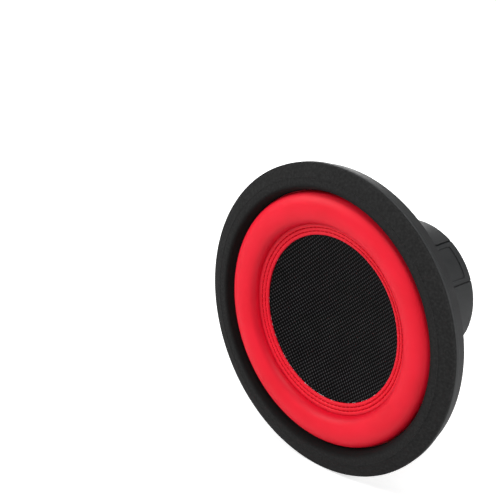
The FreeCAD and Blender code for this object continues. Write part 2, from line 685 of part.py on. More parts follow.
def make_spring(post_y):
    """Coil spring between the cover plate and the plunger's flange."""
    start_x = BLOCK_INNER_X + SPRING_WIRE_RADIUS + SPRING_END_GAP
    end_x = LINER_START_X - PLUNGER_FLANGE - SPRING_WIRE_RADIUS - SPRING_END_GAP
    length = end_x - start_x
    pitch = length / SPRING_TURNS
    helix = Part.Wire(Part.makeLongHelix(pitch, length, SPRING_RADIUS).Edges)
    start_way = Vector(0, 2 * math.pi * SPRING_RADIUS, pitch)
    wire_section = Part.makeCircle(SPRING_WIRE_RADIUS, Vector(SPRING_RADIUS, 0, 0), start_way)
    spring = helix.makePipeShell([Part.Wire([wire_section])], True, True)
    spring.rotate(ORIGIN, Vector(0, 1, 0), 90)
    spring.translate(Vector(start_x, post_y, POST_Z))
    return spring


def terminal_rivet_shanks():
    """Shanks through the ledge and the block's foot, on the positive X side."""
    shanks = []
    length = SHEET + BLOCK_FOOT_THICKNESS
    for side in (-1, 1):
        start = Vector(TERMINAL_RIVET_X, side * TERMINAL_RIVET_SPACING / 2, BLOCK_TOP)
        shanks.append(cylinder(TERMINAL_RIVET_RADIUS, start, length))
    return shanks


def make_terminal_rivets():
    """The two rivets that hold one terminal block to the basket."""
    rivets = []
    for shank in terminal_rivet_shanks():
        head_start = shank.CenterOfMass
        head_start.z = -LEDGE_DEPTH
        head = cylinder(TERMINAL_RIVET_HEAD_RADIUS, head_start, TERMINAL_RIVET_HEAD_HEIGHT)
        head = head.makeFillet(TERMINAL_RIVET_HEAD_HEIGHT / 2, [top_edge(head)])
        rivets.append(shank.fuse(head).removeSplitter())
    return Part.makeCompound(rivets)


def lead_rivet_heights():
    """The lower and upper ends of a stud that stands proud of both faces of the sloping cone."""
    slope = (CONE_RIM_TOP + CONE_NECK_DEPTH) / (CONE_SHOULDER_RADIUS - FORMER_OUTER)
    front = slope * (LEAD_RIVET_X - FORMER_OUTER) - CONE_NECK_DEPTH
    rear = front - CONE_THICKNESS * math.hypot(1, slope)
    spare = slope * LEAD_RIVET_RADIUS + LEAD_RIVET_PROUD
    return rear - spare, front + spare


def make_lead_rivets():
    """Four studs through the cone where the braided leads end."""
    bottom, top = lead_rivet_heights()
    studs = []
    for post_y in post_places().values():
        start = Vector(LEAD_RIVET_X, post_y, bottom)
        stud = cylinder(LEAD_RIVET_RADIUS, start, top - bottom)
        studs += around(stud, TERMINAL_ANGLES.values())
    return Part.makeCompound(studs)


def make_lead(post_y):
    """Braided lead from a solder tab, in through a window and up to its stud on the cone."""
    sideways = math.copysign(1, post_y)
    route = [Vector(TAB_X, post_y, -LEAD_DEPTH)]
    for x, shift, depth in LEAD_BENDS:
        route.append(Vector(x, post_y + sideways * shift, -depth))
    rivet_bottom = lead_rivet_heights()[0]
    for height in (rivet_bottom - LEAD_RISE, rivet_bottom):
        route.append(Vector(LEAD_RIVET_X, post_y, height))
    radii = []
    for before, corner, after in zip(route, route[1:], route[2:]):
        shorter = min(corner.distanceToPoint(before), corner.distanceToPoint(after))
        turn = (corner - before).getAngle(after - corner)
        radii.append(LEAD_ARC_SHARE * shorter / math.tan(turn / 2))
    path = Part.Wire(rounded_edges(route, radii))
    way = (route[1] - route[0]).normalize()
    section = Part.Wire([Part.makeCircle(LEAD_RADIUS, route[0], way)])
    lead = path.makePipeShell([section], True, False)
    share = lead.Volume / (math.pi * LEAD_RADIUS**2 * path.Length)
    print("lead: bend radii", [round(radius, 1) for radius in radii], f"volume share {share:.4f}")
    return lead


def save_terminal(side, angle):
    """Every piece of one terminal block, turned to its side of the basket."""

    def place(name, shape):
        save(f"{side}_{name}", around(shape, [angle])[0])

    place("terminal_block", make_terminal_block())
    place("terminal_cover", make_terminal_cover())
    place("terminal_rivets", make_terminal_rivets())
    for pole, post_y in post_places().items():
        place(f"{pole}_contact", make_contact(post_y))
        place(f"{pole}_button", make_button(post_y))
        place(f"{pole}_spring", make_spring(post_y))
        place(f"{pole}_lead", make_lead(post_y))


os.makedirs("parts", exist_ok=True)
save("basket", make_basket())
save("front_gasket", make_front_gasket())
save("rear_gasket", make_rear_gasket())
save("surround", make_surround())
for row, row_inset in STITCH_INSETS.items():
    save(f"stitch_row_{row}", make_stitch_row(row_inset))
save("cone_cover", make_cone_cover())
save("cone_body", make_cone_body())
save("lead_rivets", make_lead_rivets())
save("spider", make_spider())
save("coil_former", make_coil_former())
save("coil_winding_inner", make_winding(FORMER_OUTER))
save("coil_winding_outer", make_winding(WINDING_MIDDLE))
save("plate_screws", make_plate_screws())
save("top_plate", make_top_plate())
save("magnet_ring", make_magnet_ring())
save("yoke", make_yoke())
save("vent_mesh", make_vent_mesh())
save("magnet_boot", make_magnet_boot())
for side_name, side_angle in TERMINAL_ANGLES.items():
    save_terminal(side_name, side_angle)
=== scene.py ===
# %% [markdown]
# A car subwoofer driver, dressed for its portrait.
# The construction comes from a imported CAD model, and this lesson gives it its looks. Round soft
# parts that the eye rests on are modelled again, finer than the CAD has them. Hard parts keep their
# CAD shape and get a material. Everything is in metres, and the speaker faces -Y with +Z up.

# %% Load the frame
import json
import math

import bpy
import numpy as np
from mathutils import Matrix, Vector


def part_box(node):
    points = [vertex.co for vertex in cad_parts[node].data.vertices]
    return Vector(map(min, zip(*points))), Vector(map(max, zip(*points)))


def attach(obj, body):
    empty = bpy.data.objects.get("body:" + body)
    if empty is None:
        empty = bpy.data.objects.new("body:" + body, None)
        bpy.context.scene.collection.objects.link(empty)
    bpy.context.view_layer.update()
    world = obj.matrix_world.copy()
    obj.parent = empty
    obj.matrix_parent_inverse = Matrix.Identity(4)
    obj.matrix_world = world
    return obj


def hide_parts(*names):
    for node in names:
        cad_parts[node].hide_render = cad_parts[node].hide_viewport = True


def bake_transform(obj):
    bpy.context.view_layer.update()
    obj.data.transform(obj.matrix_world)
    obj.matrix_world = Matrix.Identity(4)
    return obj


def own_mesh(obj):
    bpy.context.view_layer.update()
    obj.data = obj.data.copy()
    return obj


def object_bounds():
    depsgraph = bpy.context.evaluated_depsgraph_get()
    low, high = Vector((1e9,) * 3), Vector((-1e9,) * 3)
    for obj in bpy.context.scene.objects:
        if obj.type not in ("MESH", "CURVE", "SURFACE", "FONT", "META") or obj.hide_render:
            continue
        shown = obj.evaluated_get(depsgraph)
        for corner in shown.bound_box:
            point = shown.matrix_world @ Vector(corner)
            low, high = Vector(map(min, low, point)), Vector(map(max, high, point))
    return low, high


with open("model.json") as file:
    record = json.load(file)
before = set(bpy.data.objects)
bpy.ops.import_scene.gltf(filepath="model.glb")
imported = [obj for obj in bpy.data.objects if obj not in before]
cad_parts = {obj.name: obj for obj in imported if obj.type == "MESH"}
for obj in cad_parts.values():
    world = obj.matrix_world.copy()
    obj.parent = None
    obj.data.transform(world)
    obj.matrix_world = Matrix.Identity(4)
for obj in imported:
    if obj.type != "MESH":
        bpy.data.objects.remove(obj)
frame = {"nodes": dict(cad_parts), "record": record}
cad_low, cad_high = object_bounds()
MM = 0.001
print("nodes:", len(frame["nodes"]))

# %% [markdown]
# Colours are written as the hex values that a paint or fabric chart gives. Those are sRGB values,
# and a shader wants linear light, so one function turns one into the other. Materials are built
# from nodes, and one small function adds a node, sets its values and joins its inputs.


# %% Colour and node helpers
def colour(code):
    """An sRGB hex value as linear red, green, blue and alpha."""
    parts = [int(code[i:i + 2], 16) / 255 for i in (1, 3, 5)]
    linear = [p / 12.92 if p <= 0.04045 else ((p + 0.055) / 1.055) ** 2.4 for p in parts]
    return (*linear, 1.0)


def add_node(tree, kind, settings=None, inputs=None):
    """Adds a node. An input that is a socket is linked, and any other value is set."""
    node = tree.nodes.new(kind)
    for name, value in (settings or {}).items():
        setattr(node, name, value)
    for name, value in (inputs or {}).items():
        if isinstance(value, bpy.types.NodeSocket):
            tree.links.new(value, node.inputs[name])
        else:
            node.inputs[name].default_value = value
    return node


def new_material(name):
    """A material with its node tree, its shader and the place on the piece in metres."""
    made = bpy.data.materials.new(name)
    made.use_nodes = True
    tree = made.node_tree
    shader = tree.nodes["Principled BSDF"]
    place = add_node(tree, "ShaderNodeTexCoord").outputs["Object"]
    print("material:", name)
    return made, tree, shader, place


def finish_material(tree, shader, inputs):
    """Sets the shader's inputs, or links those that are sockets."""
    for name, value in inputs.items():
        if isinstance(value, bpy.types.NodeSocket):
            tree.links.new(value, shader.inputs[name])
        else:
            shader.inputs[name].default_value = value


# %% [markdown]
# Four patterns serve nearly every finish: a mottled colour, a roughness that wanders, a fine grain
# in relief, and a value that grows with the distance from the speaker's axis. Sizes are given in
# millimetres, as they would be measured on the real material.


# %% Patterns
def mottle(tree, place, size_mm, codes):
    """Noise between two or more colours, with blotches of about the given size."""
    noise = add_node(tree, "ShaderNodeTexNoise", None, {
        "Vector": place, "Scale": 1 / (size_mm * MM), "Detail": 3.0,
    })
    ramp = add_node(tree, "ShaderNodeValToRGB", None, {"Fac": noise.outputs["Fac"]})
    stops = ramp.color_ramp.elements
    while len(stops) < len(codes):
        stops.new(0.5)
    for index, code in enumerate(codes):
        stops[index].position = 0.3 + 0.4 * index / (len(codes) - 1)
        stops[index].color = colour(code)
    return ramp.outputs["Color"]


def roughness_range(tree, place, size_mm, low, high):
    """Noise that moves the roughness between two values."""
    noise = add_node(tree, "ShaderNodeTexNoise", None, {
        "Vector": place, "Scale": 1 / (size_mm * MM), "Detail": 3.0,
    })
    span = add_node(tree, "ShaderNodeMapRange", None, {
        "Value": noise.outputs["Fac"], "To Min": low, "To Max": high,
    })
    return span.outputs["Result"]


def grain(tree, place, size_mm, depth_mm, strength=1.0, base=None):
    """A bump from noise whose lumps have the given size and depth."""
    noise = add_node(tree, "ShaderNodeTexNoise", None, {
        "Vector": place, "Scale": 1 / (size_mm * MM), "Detail": 4.0,
    })
    inputs = {"Height": noise.outputs["Fac"], "Distance": depth_mm * MM, "Strength": strength}
    if base is not None:
        inputs["Normal"] = base
    return add_node(tree, "ShaderNodeBump", None, inputs).outputs["Normal"]


def radius_share(tree, place, zone_mm, interpolation):
    """Grows from 0 to 1 across a zone of radii about the speaker's axis."""
    spread = add_node(tree, "ShaderNodeVectorMath", {"operation": "MULTIPLY"}, {
        0: place, 1: (1, 0, 1),
    })
    from_axis = add_node(tree, "ShaderNodeVectorMath", {"operation": "LENGTH"}, {
        0: spread.outputs[0],
    })
    share = add_node(tree, "ShaderNodeMapRange", {"interpolation_type": interpolation}, {
        "Value": from_axis.outputs["Value"],
        "From Min": zone_mm[0] * MM, "From Max": zone_mm[1] * MM,
    })
    return share.outputs["Result"]


# %% [markdown]
# Most of a speaker is turned about one axis. Spin would turn a section in one go, but its seam has
# to be merged and its faces sorted out afterwards. Here a circle is extruded ring by ring along the
# section and resized at each step, which gives even rings and no seam. The section is a list of
# radii and heights in millimetres, with height measured forwards from the plane where the flange
# meets the baffle.

# %% Turning helpers
SEGMENTS = 288


def select_only(piece):
    """Makes one piece the only one that is selected, and the active one."""
    bpy.ops.object.select_all(action="DESELECT")
    piece.select_set(True)
    bpy.context.view_layer.objects.active = piece


def close_edit(smooth):
    """Turns every face outwards, leaves edit mode and smooths edges below an angle in degrees."""
    bpy.ops.mesh.select_all(action="SELECT")
    bpy.ops.mesh.normals_make_consistent(inside=False)
    bpy.ops.object.mode_set(mode="OBJECT")
    bpy.ops.object.shade_smooth_by_angle(angle=math.radians(smooth))


def lathe(name, section, segments=SEGMENTS, smooth=40):
    """Turns a section about the speaker's axis. A section that returns to its start is closed."""
    bpy.ops.object.select_all(action="DESELECT")
    radius, height = section[0]
    bpy.ops.mesh.primitive_circle_add(
        vertices=segments, radius=radius * MM,
        location=(0, -height * MM, 0), rotation=(math.pi / 2, 0, 0),
    )
    piece = bpy.context.object
    piece.name = name
    bpy.ops.object.transform_apply(location=True, rotation=True, scale=True)
    bpy.ops.object.mode_set(mode="EDIT")
    bpy.ops.mesh.select_all(action="SELECT")
    for (radius, height), (next_radius, next_height) in zip(section, section[1:]):
        step = (0, (height - next_height) * MM, 0)
        bpy.ops.mesh.extrude_edges_move(TRANSFORM_OT_translate={"value": step})
        share = next_radius / radius
        bpy.ops.transform.resize(value=(share, 1, share), center_override=(0, 0, 0))
    bpy.ops.mesh.select_all(action="SELECT")
    bpy.ops.mesh.remove_doubles(threshold=1e-6)
    close_edit(smooth)
    return piece


def arc(centre, radius, start, end, steps):
    """Points of an arc in a section. Angles are in degrees, 0 outwards and 90 forwards."""
    angles = [math.radians(start + (end - start) * i / steps) for i in range(steps + 1)]
    return [(centre[0] + radius * math.cos(a), centre[1] + radius * math.sin(a)) for a in angles]


def dress(piece, made, body, slot, *replaced):
    """Gives a piece its material, the body it rides on and the nodes it stands for. The slot is not
    used.
    """
    piece.data.materials.clear()
    piece.data.materials.append(made)
    if body:
        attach(piece, body)
    if replaced:
        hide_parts(*replaced)
    print(piece.name, len(piece.data.polygons), "faces")


# %% Measures that the frame gives
ring_low, ring_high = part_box("front_gasket")
TRIM_RADIUS = ring_high.x / MM
TRIM_FRONT = -ring_low.y / MM
RIM_TOP = -ring_high.y / MM
roll_low, roll_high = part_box("surround")
ROLL_CREST = -roll_low.y / MM
FOOT_OUTER = roll_high.x / MM
FOOT_BOTTOM = -roll_high.y / MM
print("trim ring radius", round(TRIM_RADIUS, 2), "front", round(TRIM_FRONT, 2))
print("rim top", round(RIM_TOP, 2))
print("roll crest", round(ROLL_CREST, 2), "foot to", round(FOOT_OUTER, 2))

# %% [markdown]
# ## Camera, floor and light
# The camera stands to the right and above, and looks along the speaker's cone at an angle. A long
# lens keeps the ellipses calm. One box stands at the left and one high up, so the roll shades its
# own valley. A box at the right lights the boot and the edge of the ring, and weak ones in front,
# above and behind keep every side readable. The world is dim, so hollows stay dark. The camera
# sees plain white behind it all.

# %% Camera
VIEW_AZIMUTH = math.radians(45.08)
VIEW_ELEVATION = math.radians(21.30)
VIEW_ROLL = math.radians(2.45)
VIEW_DISTANCE = 0.941
VIEW_ASIDE = -0.06115
VIEW_ABOVE = 0.04465
LENS = 100.8

back = Vector((
    math.sin(VIEW_AZIMUTH) * math.cos(VIEW_ELEVATION),
    -math.cos(VIEW_AZIMUTH) * math.cos(VIEW_ELEVATION),
    math.sin(VIEW_ELEVATION),
))
level = Vector((math.cos(VIEW_AZIMUTH), math.sin(VIEW_AZIMUTH), 0))
upright = back.cross(level)
right = level * math.cos(VIEW_ROLL) + upright * math.sin(VIEW_ROLL)
up = upright * math.cos(VIEW_ROLL) - level * math.sin(VIEW_ROLL)
bpy.ops.object.camera_add(location=back * VIEW_DISTANCE + right * VIEW_ASIDE + up * VIEW_ABOVE)
camera = bpy.context.object
camera.name = "camera"
camera.rotation_mode = "QUATERNION"
camera.rotation_quaternion = Matrix((right, up, back)).transposed().to_quaternion()
camera.data.lens = LENS
camera.data.clip_start = 0.01
bpy.context.scene.camera = camera
bpy.context.scene.view_settings.view_transform = "Standard"
print("camera at", [round(v, 3) for v in camera.location])

# %% Lights
LAMPS = (
    # name, place in metres, side in metres, watts
    ("key_box", (-0.95, -0.75, 0.6), 0.4, 8.5),
    ("high_box", (0.35, -0.45, 1.25), 0.4, 9.5),
    ("front_box", (0.0, -1.25, 0.3), 0.5, 2),
    ("side_box", (1.3, 0.25, 0.45), 0.8, 9),
    ("top_box", (0.2, 0.5, 1.2), 0.6, 3),
    ("rear_box", (-0.8, 1.0, 0.5), 0.6, 5),
)
for name, spot, side, watts in LAMPS:
    bpy.ops.object.light_add(type="AREA", location=spot)
    lamp = bpy.context.object
    lamp.name = name
    lamp.data.energy = watts
    lamp.data.size = side
    lamp.rotation_mode = "QUATERNION"
    lamp.rotation_quaternion = Vector(spot).to_track_quat("Z", "Y")
print("lamps:", len(LAMPS))

# %% World
AMBIENT = 0.08
world = bpy.data.worlds.new("studio")
bpy.context.scene.world = world
world.use_nodes = True
sky = world.node_tree
for node in list(sky.nodes):
    sky.nodes.remove(node)
rays = add_node(sky, "ShaderNodeLightPath")
dim = add_node(sky, "ShaderNodeBackground", None, {"Color": (1, 1, 1, 1), "Strength": AMBIENT})
white = add_node(sky, "ShaderNodeBackground", None, {"Color": (1, 1, 1, 1), "Strength": 1.0})
seen = add_node(sky, "ShaderNodeMixShader", None, {
    0: rays.outputs["Is Camera Ray"], 1: dim.outputs[0], 2: white.outputs[0],
})
add_node(sky, "ShaderNodeOutputWorld", None, {"Surface": seen.outputs[0]})
print("world strength:", AMBIENT, "on the speaker, 1 for the camera")

# %% [markdown]
# The sweep is white paper. Only what the camera sees of it is lifted to white, by a glow that
# sends no light to the speaker, so the soft shadow under the ring stays and the reds stay clean.
# The lift grows with distance from the speaker, as the lamps fade.

# %% Floor
FLOOR_HALF = 3.0
PAPER_LIFT = 0.62
LIFT_FROM, LIFT_TO = 0.25, 0.8
bpy.ops.object.select_all(action="DESELECT")
bpy.ops.mesh.primitive_plane_add(size=2 * FLOOR_HALF, location=(0, 0, cad_low.z))
floor = bpy.context.object
floor.name = "studio_floor"
paper, tree, shader, place = new_material("matte paper sweep")
finish_material(tree, shader, {
    "Base Color": mottle(tree, place, 900.0, ["#EFEFEF", "#F2F2F2"]),
    "Roughness": 0.95,
    "Specular IOR Level": 0.1,
    "Emission Color": (1, 1, 1, 1),
})
rays = add_node(tree, "ShaderNodeLightPath")
distance = add_node(tree, "ShaderNodeVectorMath", {"operation": "LENGTH"}, {0: place})
farther = add_node(tree, "ShaderNodeMapRange", {"interpolation_type": "SMOOTHSTEP"}, {
    "Value": distance.outputs["Value"], "From Min": LIFT_FROM, "From Max": LIFT_TO,
    "To Min": PAPER_LIFT, "To Max": 1.0,
})
lift = add_node(tree, "ShaderNodeMath", {"operation": "MULTIPLY"}, {
    0: rays.outputs["Is Camera Ray"], 1: farther.outputs["Result"],
})
tree.links.new(lift.outputs[0], shader.inputs["Emission Strength"])
floor.data.materials.append(paper)

# %% [markdown]
# ## Finishes
# Closed-cell foam is cut and skived, so it is matte, with a fine open grain. The wall round the
# opening lies in a deep recess, so shade is painted on it: the colour darkens towards the opening
# with the radius. Two materials would meet in a hard line, so one material darkens with the radius.

# %% Foam
SHADED_WALL_RADII = (91.0, 95.2)
foam, tree, shader, place = new_material("closed-cell polyethylene foam")
cells = mottle(tree, place, 1.6, ["#1B1B1B", "#222222", "#2A2A2A"])
# Painted shade: towards the opening the foam turns near black, for the recess of its inner wall.
cells_and_painted_wall_shade = add_node(tree, "ShaderNodeMix", {"data_type": "RGBA"}, {
    "Factor": radius_share(tree, place, SHADED_WALL_RADII, "SMOOTHSTEP"), 6: colour("#0B0909"), 7: cells,
})
finish_material(tree, shader, {
    "Base Color": cells_and_painted_wall_shade.outputs[2],
    "Roughness": roughness_range(tree, place, 2.0, 0.8, 0.95),
    "Specular IOR Level": 0.2,
    "Normal": grain(tree, place, 0.7, 0.14, 0.7),
})

# %% [markdown]
# The surround is foam rubber with a smooth red skin. The skin scatters light softly and has a low
# satin gloss, so a highlight is broad and pale. In the crease by the inner foot, shade is painted
# into the colour as a deeper red, which fades out up the roll. A ramp over the radius blends the
# two reds, where a second material would end in a line.

# %% Surround skin
CREASE_ZONE = (64.6, 71.0)
CREASE_SHADE_STOPS = ((0.0, 0.0), (0.14, 1.0), (0.36, 0.8), (1.0, 0.0))
red_skin, tree, shader, place = new_material("satin foam rubber skin")
crease_shade = add_node(tree, "ShaderNodeValToRGB", None, {
    "Fac": radius_share(tree, place, CREASE_ZONE, "LINEAR"),
})
crease_shade.color_ramp.interpolation = "EASE"
for position, _ in CREASE_SHADE_STOPS[1:-1]:
    crease_shade.color_ramp.elements.new(position)
for stop, (position, share) in zip(crease_shade.color_ramp.elements, CREASE_SHADE_STOPS):
    stop.position = position
    stop.color = (share, share, share, 1)
# Painted shade: the deeper red #D80828 darkens the crease by the inner foot.
red_with_crease_shade = add_node(tree, "ShaderNodeMix", {"data_type": "RGBA"}, {
    "Factor": crease_shade.outputs["Color"],
    6: mottle(tree, place, 30.0, ["#E90C28", "#EE0F2B", "#F2122F"]), 7: colour("#D80828"),
})
finish_material(tree, shader, {
    "Base Color": red_with_crease_shade.outputs[2],
    "Roughness": roughness_range(tree, place, 6.0, 0.48, 0.56),
    "Specular IOR Level": 0.25,
    "Normal": grain(tree, place, 0.9, 0.03, 0.4),
    "Subsurface Weight": 0.06,
    "Subsurface Radius": (1.0, 0.15, 0.1),
    "Subsurface Scale": 0.002,
})

# %% [markdown]
# The sewing thread is twisted polyester, dyed with the skin but duller and a shade deeper. It has
# almost no gloss, so its rows read as fine dark dashes on the satin.

# %% Thread
thread, tree, shader, place = new_material("polyester sewing thread")
finish_material(tree, shader, {
    "Base Color": mottle(tree, place, 1.2, ["#B80016", "#CC061E"]),
    "Roughness": roughness_range(tree, place, 1.0, 0.65, 0.8),
    "Specular IOR Level": 0.08,
    "Normal": grain(tree, place, 0.6, 0.01, 0.4),
})

# %% [markdown]
# The dish is plain weave set in resin. Each thread is 1.52 mm wide and passes over one and under
# the next. The relief is in the mesh. Its sheen and shade are painted: where an upright thread
# lies on top it is painted light, as if its fibres threw the light back, and where a level thread
# does it is painted dark. The mesh carries that painted sheen as a value.

# %% Woven dish finish
weave, tree, shader, place = new_material("resin-set glass fibre weave")
# Painted sheen and shade of the weave, read from a value that the mesh carries.
painted_sheen = add_node(tree, "ShaderNodeAttribute", {
    "attribute_name": "painted_sheen", "attribute_type": "GEOMETRY",
})
fibre = add_node(tree, "ShaderNodeValToRGB", None, {"Fac": painted_sheen.outputs["Fac"]})
WEAVE_SHEEN_TONES = ((0.0, "#040404"), (0.35, "#121212"), (0.5, "#252526"), (1.0, "#464648"))
for position, _ in WEAVE_SHEEN_TONES[1:-1]:
    fibre.color_ramp.elements.new(position)
for stop, (position, code) in zip(fibre.color_ramp.elements, WEAVE_SHEEN_TONES):
    stop.position = position
    stop.color = colour(code)
dust = mottle(tree, place, 14.0, ["#DADADA", "#FFFFFF"])
dusted = add_node(tree, "ShaderNodeMix", {"data_type": "RGBA", "blend_type": "MULTIPLY"}, {
    "Factor": 1.0, 6: fibre.outputs["Color"], 7: dust,
})
finish_material(tree, shader, {
    "Base Color": dusted.outputs[2],
    "Roughness": roughness_range(tree, place, 3.0, 0.5, 0.62),
    "Specular IOR Level": 0.03,
    "Normal": grain(tree, place, 0.5, 0.02, 0.4),
})

# %% [markdown]
# The spider is cotton cloth dipped in phenolic resin, which turns it amber. Its threads run
# straight across the ring, not round it, so two straight waves make the weave. Real threads lie
# 0.5 mm apart, and 0.9 mm is the finest that shows. A wave texture repeats every pi / 10 of its
# own units.

# %% Stiff cloth finish
CLOTH_PITCH = 0.9
WAVE_UNIT = math.pi / 10
stiff_cloth, tree, shader, place = new_material("phenolic-stiffened cotton")
threads_both_ways = []
for direction in ("X", "Z"):
    threads_both_ways.append(add_node(
        tree, "ShaderNodeTexWave", {"bands_direction": direction},
        {
            "Vector": place, "Distortion": 0.4,
            "Scale": WAVE_UNIT / (CLOTH_PITCH * MM) / (2 * math.pi),
        },
    ).outputs["Fac"])
crossing = add_node(tree, "ShaderNodeMath", {"operation": "MAXIMUM"}, {
    0: threads_both_ways[0], 1: threads_both_ways[1],
})
amber = mottle(tree, place, 6.0, ["#A67C2E", "#BE9440", "#C9A04C"])
shade = add_node(tree, "ShaderNodeMapRange", None, {
    "Value": crossing.outputs[0], "To Min": 0.55, "To Max": 1.0,
})
between = add_node(tree, "ShaderNodeMix", {"data_type": "RGBA", "blend_type": "MULTIPLY"}, {
    "Factor": 1.0, 6: amber, 7: shade.outputs["Result"],
})
raised = add_node(tree, "ShaderNodeBump", None, {
    "Height": crossing.outputs[0], "Distance": 0.12 * MM, "Strength": 0.8,
})
finish_material(tree, shader, {
    "Base Color": between.outputs[2],
    "Roughness": roughness_range(tree, place, 4.0, 0.6, 0.78),
    "Normal": grain(tree, place, 0.3, 0.03, 0.5, base=raised.outputs["Normal"]),
})

# %% [markdown]
# Powder coat on pressed steel has a faint orange peel, which breaks up a highlight. Moulded rubber
# is duller and softer in its gloss. The plates are dipped in black electro-coat, which is thin and
# even. Ferrite is a fired powder, matte and slightly crystalline. Turned and drawn metals show
# their own colour and a tight highlight, and paper pulp shows none. All of them are one recipe
# with different values, so they are one table.


# %% Hard finishes
def plain_finish(name, codes, blotch, rough, lump, depth, **more):
    """Most moulded and coated finishes: a mottled colour, a roughness range and a grain."""
    made, tree, shader, place = new_material(name)
    finish_material(tree, shader, {
        "Base Color": mottle(tree, place, blotch, codes),
        "Roughness": roughness_range(tree, place, blotch / 2, *rough),
        "Normal": grain(tree, place, lump, depth, 0.5),
        **more,
    })
    return made


# %% Table of hard finishes
METAL = {"Metallic": 1.0}
FINISH_TABLE = (
    # slot, material, darkest, lightest, blotch mm, roughness range, grain mm, grain depth mm, more
    ("basket_steel", "black powder coat", "#222223", "#2A2A2B", 14, (0.4, 0.5), 0.9, 0.04, {}),
    ("boot_rubber", "moulded nitrile rubber", "#222324", "#292A2B", 18, (0.48, 0.6), 0.8, 0.03, {}),
    ("seal_foam", "open-cell seal foam", "#1D1E1E", "#272828", 4, (0.85, 0.97), 0.8, 0.2, {}),
    ("plate_steel", "black electro-coat", "#1A1A1B", "#1F1F20", 10, (0.3, 0.4), 1.5, 0.01, {}),
    ("mesh_steel", "black coated mesh steel", "#1C1C1D", "#242425", 3, (0.35, 0.5), 0.5, 0.01, {}),
    ("ferrite", "sintered ferrite", "#2C2C2E", "#38383A", 5, (0.6, 0.8), 0.6, 0.05, {}),
    ("block_plastic", "moulded ABS", "#19191A", "#1F1F20", 8, (0.42, 0.52), 0.5, 0.02, {}),
    ("negative_cap", "gloss black ABS", "#121213", "#171718", 8, (0.2, 0.28), 2.0, 0.005, {}),
    ("positive_cap", "gloss red ABS", "#B3121C", "#BE1822", 8, (0.2, 0.28), 2.0, 0.005, {}),
    ("cone_paper", "pressed paper pulp", "#1D1C1B", "#2A2927", 2.2, (0.85, 0.95), 1.1, 0.15, {}),
    ("screw_steel", "black zinc plate", "#3A3A3D", "#47474B", 3, (0.28, 0.4), 0.6, 0.01, METAL),
    ("spring_steel", "bright spring wire", "#B9BABD", "#C8C9CC", 2, (0.22, 0.3), 0.5, 0.01, METAL),
    ("former_foil", "aluminium foil", "#C4C6C8", "#D2D3D5", 6, (0.25, 0.38), 0.8, 0.02, METAL),
    ("contact_brass", "stamped brass", "#C49A4A", "#D0A858", 4, (0.25, 0.38), 0.6, 0.01, METAL),
    ("coil_wire", "enamelled copper wire", "#A4522A", "#B7602F", 2, (0.2, 0.32), 0.5, 0.02, METAL),
    ("lead_braid", "tinned copper braid", "#A98F72", "#C7AE92", 0.8, (0.35, 0.5), 0.2, 0.02, METAL),
)
finishes = {
    slot: plain_finish(name, [darkest, lightest], blotch, rough, lump, depth, **more)
    for slot, name, darkest, lightest, blotch, rough, lump, depth, more in FINISH_TABLE
}
finishes.update(
    spider_cloth=stiff_cloth, trim_foam=foam, surround_rubber=red_skin,
    stitch_thread=thread, woven_fibre=weave,
)

# %% Finishes on the CAD parts
slot_of = {row["node"]: row["material_slot"] for row in frame["record"]["subparts"]}
for name, node in frame["nodes"].items():
    for material_slot in node.material_slots:
        material_slot.material = finishes[slot_of[name]]
print("finishes:", len(finishes))

# %% [markdown]
# ## Trim ring
# The ring is one piece of foam with a soft ridge inside, a broad face that falls outwards and a
# rounded edge. A fine raised line runs round the face, where the skiving knife was set. Bevels on a
# plain ring would give the same rounding everywhere, so the whole section is drawn and turned.

# %% Trim ring
LIP_RADIUS = 88.9
LIP_TOP = 11.2
LIP_ROUND = 0.5
LIP_SLOPE = [(89.9, 13.4), (90.6, 15.0)]
STEP_RADIUS = 92.9
FOOT_TOP = 9.2
RIDGE_CENTRE = 93.6
RIDGE_ROUND = 2.6
FACE_DROPS = (
    # radius, and how far the face lies below the ridge; the raised line is at 98.4
    (96.5, 0.08), (97.9, 0.22), (98.15, 0.2), (98.4, 0.02),
    (98.65, 0.5), (99.0, 0.62), (103.0, 1.7),
)
EDGE_ROUND = 1.6
EDGE_DROP = 4.8
HEM_ROUND = 0.4
FOAM_LAP = 0.3
SKIRT_TOP = 11.0
SKIRT_INNER = 103.0
SKIRT_OUTER = 107.7
HEM_TOP = SKIRT_TOP + FOAM_LAP + HEM_ROUND
section = [(LIP_RADIUS, FOOT_TOP), (LIP_RADIUS, LIP_TOP - LIP_ROUND)]
section += arc((LIP_RADIUS + LIP_ROUND, LIP_TOP - LIP_ROUND), LIP_ROUND, 180, 120, 3) + LIP_SLOPE
section += arc((RIDGE_CENTRE, TRIM_FRONT - RIDGE_ROUND), RIDGE_ROUND, 165, 90, 9)
section += [(radius, TRIM_FRONT - drop) for radius, drop in FACE_DROPS]
section += arc((TRIM_RADIUS - EDGE_ROUND, TRIM_FRONT - EDGE_DROP), EDGE_ROUND, 72, 0, 8)
section += [(TRIM_RADIUS, HEM_TOP)]
section += arc((TRIM_RADIUS - HEM_ROUND, HEM_TOP), HEM_ROUND, -10, -90, 3)
section += [(SKIRT_INNER, SKIRT_TOP + FOAM_LAP), (SKIRT_INNER, RIM_TOP), (STEP_RADIUS, RIM_TOP)]
section += [(STEP_RADIUS, FOOT_TOP), (LIP_RADIUS, FOOT_TOP)]
trim_ring = lathe("trim_ring", section)
dress(trim_ring, foam, "frame", "trim_foam", "front_gasket")

# %% [markdown]
# A harder moulded skirt carries the foam over the edge of the steel rim. It is smoother than the
# foam, so it catches the light from above, and a narrow groove parts the two.

